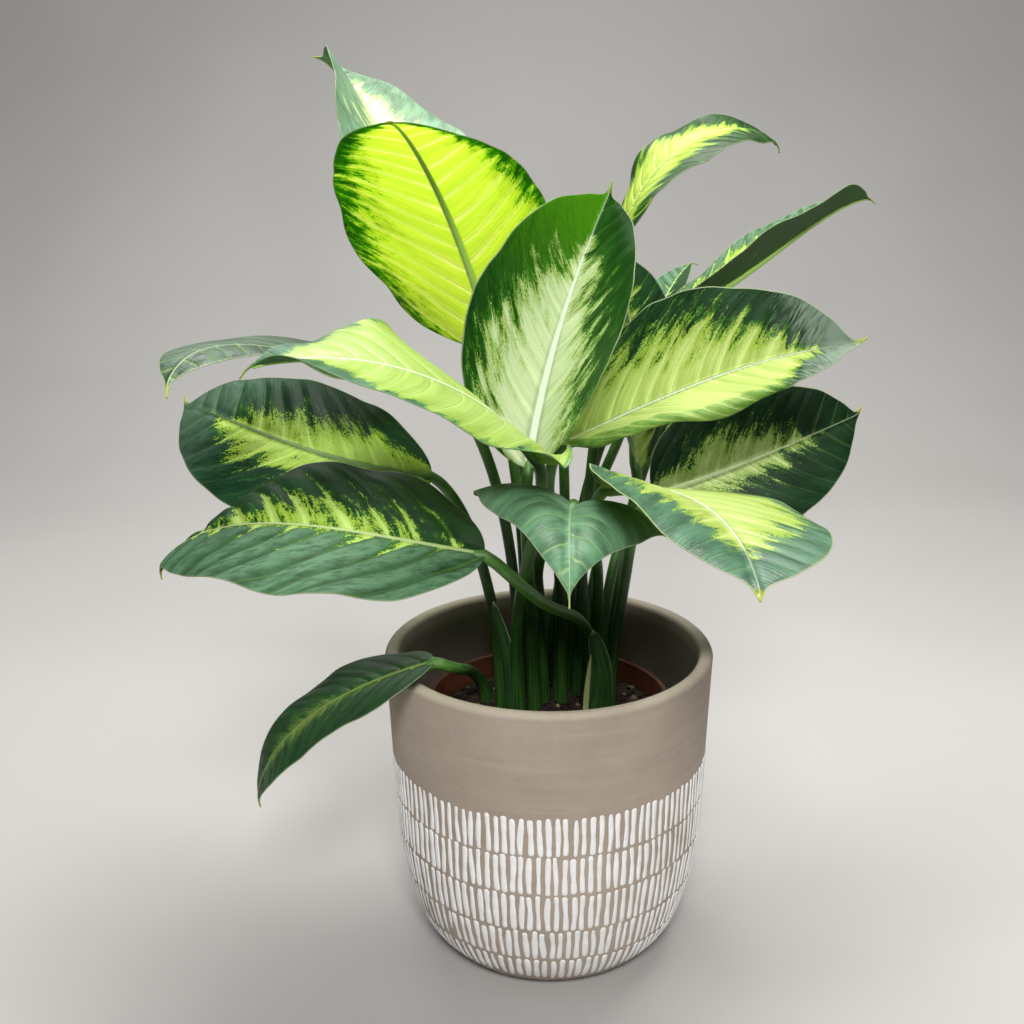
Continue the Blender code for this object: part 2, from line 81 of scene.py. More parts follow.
# foot, via and base give the stalk; the rest bends the blade, as in the part's source. pale is the pale
# centre's reach, as (share along, share across on the left, on the right) rows; veins is how many leave each
# side, quilt how far the blade swells between them.
LEAVES = {
    "leaf_top_back_left": dict(
        foot=(-3, 29), via=[(-20, 80, 240), (-47, 95, 300)], base=(-69, 96, 351),
        heading=112, rise=46, length=150, width=90, droop=(5, 20), sweep=23,
        roll=1, twist=33, fold=26, curl=0.05, wave=(2.0, 2.4, 0.4),
        pale=[(0, 0.5, 0.5), (0.4, 0.5, 0.5), (0.65, 0.25, 0.3), (0.85, -0.2, -0.1), (1, -0.5, -0.5)],
        look="grey_sheen", quilt=0.5,
        whip=(50, 10),
        frill=0.6,
    ),
    "leaf_top_left": dict(
        foot=(-11, 21), via=[(-15, 40, 215)], base=(-27, 72, 289),
        heading=-137, rise=73, length=171, width=111, droop=(39, 42), sweep=45,
        roll=14, twist=-14, fold=3, curl=0.15, wave=(2.2, 3.2, 1.0),
        pale=[(0, 0.98, 0.98), (0.4, 0.86, 0.84), (0.7, 0.76, 0.76), (0.84, 0.66, 0.66), (0.92, 0.3, 0.3), (1, -0.4, -0.4)],
        look="glow", quilt=0.7,
        veins=14,
        whip=(0, 0),
        ragged=0.035,
    ),
    "leaf_centre": dict(
        foot=(-7, 3), via=[(-9, -9, 190)], base=(-9, -27, 250),
        heading=72, rise=61, length=149, width=97, droop=(16, -7), sweep=-20,
        roll=6, twist=29, fold=47, curl=-0.11, wave=(1.6, 2.6, 2.4), foot_radius=3.9,
        pale=[(0, 0.9, 0.85), (0.2, 0.78, 0.68), (0.5, 0.58, 0.48), (0.7, 0.28, 0.25), (0.8, -0.05, -0.05), (1, -0.5, -0.5)],
        look="cream", quilt=0.8,
        veins=12,
        whip=(-30, -30),
    ),
    "leaf_right": dict(
        foot=(6, 14), via=[(4, 11, 200)], base=(7, 2, 255),
        heading=-13, rise=28, length=144, width=97, droop=(6, 18), sweep=1,
        roll=16, twist=32, fold=24, curl=-0.02, wave=(2.0, 2.5, 0.2), foot_radius=4.2,
        pale=[(0, 0.9, 1.3), (0.3, 0.66, 1.3), (0.55, 0.58, 1.25), (0.72, 0.38, 1.0), (0.82, 0.05, 0.25), (0.9, -0.3, -0.2), (1, -0.6, -0.6)],
        look="lime", quilt=1.3,
        veins=13,
        whip=(0, -30),
        rolls=[(False, 0.02, 0.80, 0.76, -100)],
        frill=0.8,
    ),
    "leaf_right_low": dict(
        foot=(31, 11), via=[(39, 14, 190)], base=(51, 15, 226),
        heading=9, rise=15, length=120, width=76, droop=(-6, 7), sweep=19,
        roll=47, twist=27, fold=16, curl=0.12, wave=(1.5, 2.4, 1.2),
        pale=[(0, 0.3, 0.3), (0.3, 0.42, 0.34), (0.55, 0.3, 0.2), (0.70, 0, 0), (0.8, -0.3, -0.3), (1, -0.6, -0.6)],
        look="deep", quilt=0.7,
        veins=11,
        whip=(20, -40),
    ),
    "leaf_right_front": dict(
        foot=(20, 13), via=[(24, 2, 190)], base=(25, -38, 244),
        heading=-50, rise=17, length=140, width=90, droop=(36, 3), sweep=-40,
        roll=-20, twist=11, fold=8, curl=0.04, wave=(1.6, 2.2, 3.0), base_power=0.85,
        pale=[(0, 0.9, 0.9), (0.3, 0.95, 0.72), (0.55, 0.86, 0.55), (0.72, 0.5, 0.25), (0.82, 0, -0.1), (1, -0.6, -0.6)],
        look="lime_silver", quilt=0.8,
        tip_power=0.8,
        veins=12,
        whip=(0, 20),
        frill=0.5,
    ),
    "leaf_front": dict(
        foot=(-3, 12), via=[(-4, 0, 200)], base=(11, -51, 241),
        heading=-94, rise=12, length=101, width=96, droop=(2, 80), sweep=4,
        roll=-10, twist=-4, fold=33, curl=0.58, wave=(1.6, 2.6, 0.7), tip_power=1.5,
        foot_radius=4.0, sheath=0.85,
        pale=[(0, -0.6, -0.6), (0.5, -0.5, -0.45), (1, -0.6, -0.6)],
        look="silver_sheen", quilt=0.6,
        veins=9,
        whip=(0, -20),
        frill=0.4,
    ),
    "leaf_left_low": dict(
        foot=(23, 3), via=[(18, -6, 165), (0, -38, 189)], base=(-27, -60, 221),
        heading=180, rise=10, length=168, width=98, droop=(2, 66), sweep=-22,
        roll=-15, twist=-8, fold=10, curl=0.13, wave=(1.8, 3.4, 0.9),
        foot_radius=4.8, sheath=0.4,
        pale=[(0, -0.35, -0.3), (0.08, -0.2, 0.0), (0.3, -0.1, 0.2), (0.6, -0.1, 0.24), (0.8, -0.16, 0.0), (0.9, -0.3, -0.3), (1, -0.6, -0.6)],
        look="deep_fresh", quilt=2.0,
        late_fold=(0, -120),
        veins=10,
        whip=(0, 45),
        frill=0.25,
    ),
    "leaf_left_mid": dict(
        foot=(-23, 6), via=[(-33, 8, 195)], base=(-56, 12, 237),
        heading=185, rise=7, length=167, width=86, droop=(-21, 41), sweep=-62,
        roll=-31, twist=-11, fold=4, curl=0.14, wave=(1.6, 3.0, 2.0),
        foot_radius=4.4, sheath=0.35,
        pale=[(0, 0.36, 0.42), (0.3, 0.38, 0.42), (0.55, 0.36, 0.34), (0.66, 0.16, 0.12), (0.74, -0.2, -0.26), (1, -0.6, -0.6)],
        look="deep_lime", quilt=2.0,
        veins=10,
        whip=(-20, -60),
        frill=0.5,
    ),
    "leaf_left_high": dict(
        foot=(-15, -3), via=[(-12, -26, 195)], base=(-4, -47, 259),
        heading=246, rise=42, length=156, width=80, droop=(28, 29), sweep=-51,
        roll=-23, twist=2, fold=5, curl=0.12, wave=(2.4, 2.8, 2.6), foot_radius=4.2,
        pale=[(0, 1.03, 1.03), (0.5, 0.96, 0.97), (0.72, 0.86, 0.93), (0.88, 0.1, 0.2), (1, -0.4, -0.4)],
        look="light", quilt=0.6,
        late_fold=(110, 0),
        veins=12,
        whip=(0, 40),
        frill=0.5,
        rolls=[(True, -0.08, 0.2, 0.5, 130)],
        bumps=[(False, 0.80, 0.07, -5.0), (False, 0.60, 0.09, 3.0)],
    ),
    "leaf_far_left": dict(
        foot=(-15, 13), via=[(-19, 14, 200)], base=(-61, 22, 291),
        heading=196, rise=4, length=158, width=52, droop=(-33, 75), sweep=74,
        roll=-22, twist=28, fold=3, curl=0.13, wave=(1.4, 2.2, 0.0),
        pale=[(0, 0.4, 0.4), (0.3, 0.1, 0.0), (0.5, -0.4, -0.4), (1, -0.6, -0.6)],
        look="sage", quilt=0.5,
        whip=(10, 20),
        frill=0.4,
    ),
    "leaf_spill": dict(
        foot=(-32, 14), via=[(-38, -5, 142)], base=(-52, -45, 165),
        heading=178, rise=-17, length=116, width=51, droop=(19, 54), sweep=22,
        roll=-4, twist=-8, fold=4, curl=0.08, wave=(1.0, 2.6, 0.5),
        pale=[(0, -0.3, -0.3), (0.3, 0.1, 0.0), (0.6, 0.35, 0.3), (0.8, 0.1, 0.1), (1, -0.5, -0.5)],
        look="olive", quilt=0.6,
        frill=0.3,
    ),
    "leaf_top_right": dict(
        foot=(15, 22), via=[(22, 40, 235)], base=(37, 72, 344),
        heading=7, rise=78, length=122, width=47, droop=(99, 16), sweep=27,
        roll=1, twist=31, fold=7, curl=0.12, wave=(1.8, 2.8, 1.2),
        pale=[(0, 0.8, 0.7), (0.4, 0.75, 0.6), (0.65, 0.4, 0.35), (0.8, -0.1, -0.1), (1, -0.5, -0.5)],
        look="ribbon", quilt=0.5,
        whip=(0, 40),
        frill=0.6,
    ),
    "leaf_far_right": dict(
        foot=(10, 30), via=[(20, 48, 220)], base=(63, 70, 306),
        heading=19, rise=23, length=150, width=60, droop=(-21, 46), sweep=23,
        roll=-10, twist=0, fold=22, curl=0.08, wave=(1.4, 2.5, 0.3),
        pale=[(0, 0.6, -0.3), (0.4, 0.6, -0.4), (0.7, 0.3, -0.4), (1, -0.5, -0.5)],
        look="deep_fresh", quilt=0.6,
        fold_right=38,
        late_fold=(0, 30),
        whip=(-20, 40),
        frill=0.4,
    ),
    "leaf_behind_centre": dict(
        foot=(27, 21), via=[(36, 40, 190)], base=(46, 50, 230),
        heading=141, rise=84, length=118, width=60, droop=(-12, 44), sweep=-6,
        roll=18, twist=-35, fold=20, curl=0.05, wave=(1.4, 2.4, 0.8),
        pale=[(0, 0.7, 0.7), (0.15, 0.45, 0.45), (0.5, 0.1, 0.1), (0.8, 0.1, 0.1), (1, -0.5, -0.5)],
        look="deep_fresh", quilt=0.3,
    ),
    "leaf_behind_right": dict(
        foot=(22, 31), via=[(21, 66, 200)], base=(44, 88, 259),
        heading=50, rise=68, length=97, width=36, droop=(27, 26), sweep=4,
        roll=-6, twist=-1, fold=23, curl=0.06, wave=(1.0, 2.2, 0.0),
        pale=[(0, 0.3, 0.3), (0.5, -0.1, -0.1), (1, -0.4, -0.4)],
        look="deep_fresh", quilt=0.2,
        whip=(-60, 40),
    ),
    "leaf_back_centre": dict(
        foot=(0, 39), via=[(8, 50, 190)], base=(8, 66, 242),
        heading=92, rise=45, length=108, width=54, droop=(35, 10), sweep=8,
        roll=4, twist=4, fold=14, curl=0.10, wave=(1.6, 2.6, 0.8),
        pale=[(0, 0.5, 0.5), (0.3, 0.5, 0.5), (0.6, 0.35, 0.35), (0.8, -0.1, -0.1), (1, -0.6, -0.6)],
        look="deep", quilt=0.4,
    ),
    "leaf_back_right": dict(
        foot=(31, 31), via=[(40, 48, 190)], base=(60, 76, 246),
        heading=32, rise=34, length=106, width=58, droop=(30, 10), sweep=-6,
        roll=2, twist=6, fold=14, curl=0.10, wave=(1.6, 2.4, 2.0),
        pale=[(0, 0.6, 0.6), (0.3, 0.6, 0.6), (0.6, 0.4, 0.4), (0.8, -0.1, -0.1), (1, -0.6, -0.6)],
        look="deep_lime", quilt=0.4,
    ),
}

# Each look: margin green, the green next to it, the pale zone's outer and inner colour, how much light the
# blade lets through, and how strongly it is streaked.
LOOKS = {
    "cream": dict(
        dark=(0.010, 0.062, 0.006), green=(0.07, 0.25, 0.012), pale=(0.54, 0.68, 0.20), heart=(0.80, 0.84, 0.64),
        through=0.45, streak=0.95, rib_width=3.2, along_veins=0.03, rib=(0.88, 0.90, 0.84), extra=(0.03, 0.20, 0.0),
        shine=0.35, lobes=0.75, tip_painted_light=(0.12, 0.38, 0.008), tip_side=True, tip_from=0.42, bands=0.25,
    ),
    # Partly painted light: besides letting light through, this look's greens and pale vein lines are painted brighter
    # and yellower, as the blade looks when lit through from behind.
    "glow": dict(
        dark=(0.040, 0.20, 0.004), green=(0.24, 0.54, 0.010), pale=(0.72, 0.88, 0.14), heart=(0.79, 0.92, 0.22),
        through=0.85, streak=0.75, rib=(0.26, 0.42, 0.04), lines=(0.10, 0.9), light=(1.0, 0.97, 0.8),
        line=(0.97, 0.98, 0.62), lobes=0.35, hairs=1.5, bands=0.22,
    ),
    "lime": dict(
        dark=(0.008, 0.036, 0.011), green=(0.06, 0.20, 0.016), pale=(0.38, 0.54, 0.06), heart=(0.54, 0.66, 0.20),
        through=0.35, streak=0.9, lines=(0.12, 0.9), along_veins=0.10, hem=(0.085, 0.25, 0.03),
        tip_painted_light=(0.22, 0.30, 0.23), tip_from=0.74, shine=0.2, rough=(0.4, 0.52), lobes=0.6, hairs=1.2,
        groove_shade=0.85, groove_shade_colour=(0.05, 0.10, 0.05), rib=(0.62, 0.70, 0.48),
    ),
    "ribbon": dict(
        dark=(0.012, 0.070, 0.006), green=(0.08, 0.28, 0.010), pale=(0.50, 0.72, 0.03), heart=(0.68, 0.84, 0.14),
        through=0.45, streak=0.7, along_veins=0.03,
    ),
    "lime_silver": dict(
        dark=(0.060, 0.145, 0.085), green=(0.13, 0.28, 0.09), pale=(0.42, 0.58, 0.07), heart=(0.50, 0.62, 0.19),
        through=0.3, streak=0.8, rib=(0.84, 0.90, 0.74), rim=(0.56, 0.64, 0.26), along_veins=0.08, lobes=0.6,
    ),
    "light": dict(
        dark=(0.030, 0.110, 0.055), green=(0.17, 0.34, 0.06), pale=(0.35, 0.51, 0.08), heart=(0.40, 0.56, 0.14),
        through=0.3, streak=0.35, rib=(0.84, 0.90, 0.72), lines=(0.1, 0.7), rim=(0.20, 0.34, 0.16),
    ),
    # Painted sheen: this look's margin colours are painted pale grey-green, standing in for the soft sheen the light
    # lays on the blade.
    "grey_sheen": dict(
        dark=(0.18, 0.32, 0.20), green=(0.22, 0.40, 0.18), pale=(0.52, 0.68, 0.26), heart=(0.72, 0.80, 0.50),
        through=0.35, streak=0.9, lines=(0.25, 0.4),
    ),
    # Partly painted sheen: the margin is painted a pale grey-green, partly the blade's own tone and partly the sheen of
    # light on it.
    "silver_sheen": dict(
        dark=(0.100, 0.220, 0.120), green=(0.15, 0.32, 0.13), pale=(0.42, 0.60, 0.18), heart=(0.46, 0.60, 0.30),
        through=0.25, streak=0.8, lines=(0.42, 0.6), rib_dark=0.6, rib_width=1.3, shine=0.32, rough=(0.38, 0.5),
        rib=(0.34, 0.52, 0.28),
    ),
    "sage": dict(
        dark=(0.034, 0.084, 0.036), green=(0.055, 0.14, 0.04), pale=(0.30, 0.45, 0.12), heart=(0.45, 0.58, 0.22),
        through=0.25, streak=0.8, lines=(0.55, 0.6), rib_dark=0.7, rib_width=1.3,
    ),
    "deep": dict(
        dark=(0.006, 0.026, 0.008), green=(0.020, 0.085, 0.012), pale=(0.30, 0.46, 0.08), heart=(0.50, 0.62, 0.24),
        through=0.25, streak=0.9, along_veins=0.10, lines=(0.12, 0.4), shine=0.2, rough=(0.4, 0.52), lobes=0.5,
    ),
    "deep_fresh": dict(
        dark=(0.010, 0.050, 0.012), green=(0.030, 0.140, 0.018), pale=(0.36, 0.57, 0.035), heart=(0.50, 0.68, 0.17),
        through=0.25, streak=0.9, along_veins=0.34, lines=(0.22, 0.75), rib_dark=0.8, shine=0.14,
        rough=(0.42, 0.55), lobes=0.45, hairs=1.5, ridge_sheen=(0.17, 0.34, 0.20),
    ),
    "deep_lime": dict(
        dark=(0.008, 0.040, 0.016), green=(0.032, 0.120, 0.018), pale=(0.36, 0.56, 0.05), heart=(0.47, 0.66, 0.14),
        through=0.25, streak=0.95, along_veins=0.08, lines=(0.10, 0.6), rib=(0.20, 0.34, 0.12), rib_dark=0.25,
        shine=0.16, rough=(0.42, 0.55), lobes=0.6, tip_painted_light=(0.075, 0.14, 0.09), tip_from=0.55, groove_shade=0.8,
        groove_shade_colour=(0.03, 0.06, 0.03),
    ),
    "olive": dict(
        dark=(0.020, 0.070, 0.022), green=(0.055, 0.16, 0.03), pale=(0.13, 0.25, 0.045), heart=(0.22, 0.34, 0.08),
        through=0.25, streak=0.7, along_veins=0.05, lines=(0.18, 0.4), rib_dark=0.8, shine=0.3, lobes=0.7,
        rib=(0.30, 0.42, 0.10),
    ),
}


# Small helpers for meshes and node trees

def join_shells(name, shells, body="root"):
    """One object from (points, faces, material number, attributes) shells, in millimetres."""
    points, faces, numbers = [], [], []
    keys = sorted({key for shell in shells for key in shell[3]})
    values = {key: [] for key in keys}
    offset = 0
    for shell_points, shell_faces, number, attributes in shells:
        points.append(np.asarray(shell_points, float) * MM)
        faces.extend([[int(i) + offset for i in face] for face in shell_faces])
        numbers.extend(number if isinstance(number, list) else [number] * len(shell_faces))
        for key in keys:
            values[key].append(attributes.get(key, np.zeros((len(shell_points), 3))))
        offset += len(shell_points)
    mesh = bpy.data.meshes.new(name)
    mesh.from_pydata(np.concatenate(points).tolist(), [], faces)
    for key in keys:
        layer = mesh.attributes.new(key, "FLOAT_VECTOR", "POINT")
        layer.data.foreach_set("vector", np.concatenate(values[key]).astype(np.float32).ravel())
    mesh.polygons.foreach_set("material_index", numbers)
    mesh.polygons.foreach_set("use_smooth", [True] * len(faces))
    mesh.update()
    thing = bpy.data.objects.new(name, mesh)
    bpy.context.scene.collection.objects.link(thing)
    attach(thing, body)
    return thing


def ring_faces(count, sides, start=0):
    """Faces between rings of points laid one after the other, facing out for rings that run anticlockwise up."""
    faces = []
    for ring in range(count - 1):
        here = start + ring * sides
        for i in range(sides):
            j = (i + 1) % sides
            faces.append((here + i, here + j, here + sides + j, here + sides + i))
    return faces


def tube(path, radii, flat=None, sides=STALK_SIDES, side=None):
    """A closed round tube along a path. flat gives each ring's depth as a share of its width."""
    path = np.asarray(path, float)
    ways = unit(np.gradient(path, axis=0))
    across = unit(np.cross(ways[0], side if side is not None else (0.3, 1.0, 0.1)))
    angles = np.linspace(0, 2 * math.pi, sides, endpoint=False)
    points = []
    for number, (centre, way) in enumerate(zip(path, ways)):
        across = unit(across - way * (across @ way))
        other = np.cross(way, across)
        depth = 1.0 if flat is None else flat[number]
        ring = centre + radii[number] * (
            np.outer(np.cos(angles), across) + depth * np.outer(np.sin(angles), other)
        )
        points.append(ring)
    points = np.concatenate(points)
    faces = ring_faces(len(path), sides)
    faces.append(tuple(range(sides))[::-1])
    faces.append(tuple(range((len(path) - 1) * sides, len(path) * sides)))
    return points, faces


def unit(vectors):
    vectors = np.asarray(vectors, float)
    return vectors / np.maximum(np.linalg.norm(vectors, axis=-1, keepdims=True), 1e-9)


class Tree:
    """A material's nodes, made by short calls."""

    def __init__(self, name):
        self.material = bpy.data.materials.new(name)
        self.material.use_nodes = True
        self.nodes = self.material.node_tree.nodes
        self.links = self.material.node_tree.links
        self.shader = self.nodes["Principled BSDF"]

    def put(self, socket, value):
        if isinstance(value, bpy.types.NodeSocket):
            self.links.new(value, socket)
        elif isinstance(value, tuple) and len(value) == 3 and socket.type == "RGBA":
            socket.default_value = (*value, 1.0)
        else:
            socket.default_value = value

    def add(self, kind, out=0, settings=None, **inputs):
        made = self.nodes.new(kind)
        for key, value in (settings or {}).items():
            setattr(made, key, value)
        for key, value in inputs.items():
            name = key.replace("_", " ")
            index = int(key[1:]) if key[0] == "i" and key[1:].isdigit() else name
            self.put(made.inputs[index], value)
        return made.outputs[out]

    def maths(self, operation, a, b=0.0, clamp=False):
        return self.add("ShaderNodeMath", settings={"operation": operation, "use_clamp": clamp}, i0=a, i1=b)

    def scaled(self, value, low, high, to_low=0.0, to_high=1.0):
        made = self.nodes.new("ShaderNodeMapRange")
        made.interpolation_type = "SMOOTHSTEP"
        for index, item in enumerate((value, low, high, to_low, to_high)):
            self.put(made.inputs[index], item)
        return made.outputs[0]

    def mix(self, share, a, b, blend="MIX"):
        made = self.nodes.new("ShaderNodeMix")
        made.data_type = "RGBA"
        made.blend_type = blend
        self.put(made.inputs[0], share)
        self.put(made.inputs[6], a)
        self.put(made.inputs[7], b)
        return made.outputs[2]

    def parts(self, name):
        vector = self.add("ShaderNodeAttribute", out=1, settings={"attribute_name": name})
        split = self.nodes.new("ShaderNodeSeparateXYZ")
        self.links.new(vector, split.inputs[0])
        return split.outputs

    def noise(self, vector, scale, detail=2.0, rough=0.5):
        return self.add("ShaderNodeTexNoise", Vector=vector, Scale=scale, Detail=detail, Roughness=rough)

    def stretched(self, a, b, c, by):
        """A noise place from three values, each multiplied first."""
        items = [self.maths("MULTIPLY", value, times) for value, times in zip((a, b, c), by)]
        return self.add("ShaderNodeCombineXYZ", X=items[0], Y=items[1], Z=items[2])

    def bump(self, height, strength, distance, normal=None):
        made = self.add("ShaderNodeBump", Strength=strength, Distance=distance, Height=height)
        if normal is not None:
            self.links.new(normal, made.node.inputs["Normal"])
        return made

    def finish(self, colour, roughness, normal=None, **fixed):
        self.put(self.shader.inputs["Base Color"], colour)
        self.put(self.shader.inputs["Roughness"], roughness)
        if normal is not None:
            self.put(self.shader.inputs["Normal"], normal)
        for key, value in fixed.items():
            self.shader.inputs[key.replace("_", " ")].default_value = value
        return self.material


# Leaves

def curve_through(points, first_way, last_way, count):
    """Samples of a smooth curve through the points that leaves and arrives in the given directions."""
    points = np.array(points, float)
    steps = np.linalg.norm(np.diff(points, axis=0), axis=1)
    knots = np.concatenate([[0.0], np.cumsum(steps)])
    size = len(points)
    system = np.zeros((size, size))
    right = np.zeros((size, 3))
    system[0, 0] = system[-1, -1] = 1.0
    right[0], right[-1] = first_way, last_way
    for i in range(1, size - 1):
        before, after = steps[i - 1], steps[i]
        system[i, i - 1 : i + 2] = after, 2 * (before + after), before
        chord_before = (points[i] - points[i - 1]) / before
        chord_after = (points[i + 1] - points[i]) / after
        right[i] = 3 * (after * chord_before + before * chord_after)
    slopes = np.linalg.solve(system, right)
    samples = []
    for at in np.linspace(0, knots[-1], count):
        i = min(int(np.searchsorted(knots, at, side="right")) - 1, size - 2)
        span = steps[i]
        u = (at - knots[i]) / span
        samples.append(
            (2 * u**3 - 3 * u**2 + 1) * points[i]
            + (u**3 - 2 * u**2 + u) * span * slopes[i]
            + (3 * u**2 - 2 * u**3) * points[i + 1]
            + (u**3 - u**2) * span * slopes[i + 1]
        )
    return np.array(samples)


def outline(leaf, share):
    """Half-width of a blade along its midrib, as a share of the widest: round base, drawn-out tip."""
    low = leaf.get("base_power", BASE_POWER)
    high = leaf.get("tip_power", TIP_POWER)
    widest = low / (low + high)
    width = (share / widest) ** low * ((1 - share) / (1 - widest)) ** high
    width = width * (1 - TIP_DRAWN_IN * ease(share, TIP_START, 1))
    return width * (1 - WHIP_SHARE * ease(share, WHIP_START, 0.97))


def ease(values, low, high):
    """0 up to low, 1 from high on, smooth in between."""
    t = np.clip((values - low) / (high - low), 0, 1)
    return t * t * (3 - 2 * t)


def blade_frame(leaf, shares):
    """Midrib points with their directions: along the blade, to its left side and out of its upper face."""
    fine = np.linspace(0, 1, 201)
    even, late = leaf["droop"]
    whip_turn, whip_down = leaf.get("whip", (10.0, 15.0))
    slope = np.radians(leaf["rise"] - even * fine - late * fine**3 - whip_down * ease(fine, 0.93, 1.0))
    turn = np.radians(leaf["heading"] + leaf["sweep"] * fine + whip_turn * ease(fine, 0.93, 1.0))
    along = np.stack([np.cos(turn) * np.cos(slope), np.sin(turn) * np.cos(slope), np.sin(slope)], -1)
    steps = (along[1:] + along[:-1]) / 2 * leaf["length"] / 200
    midrib = np.concatenate([np.zeros((1, 3)), np.cumsum(steps, 0)]) + np.array(leaf["base"], float)
    level = np.stack([-np.sin(turn), np.cos(turn), 0 * turn], -1)
    upright = np.cross(along, level)
    roll = np.radians(leaf["roll"] + leaf["twist"] * fine)[:, None]
    side = np.cos(roll) * level + np.sin(roll) * upright
    out = np.cross(along, side)

    def at(values):
        return np.stack([np.interp(shares, fine, values[:, axis]) for axis in range(3)], -1)

    return at(midrib), unit(at(along)), unit(at(side)), unit(at(out))


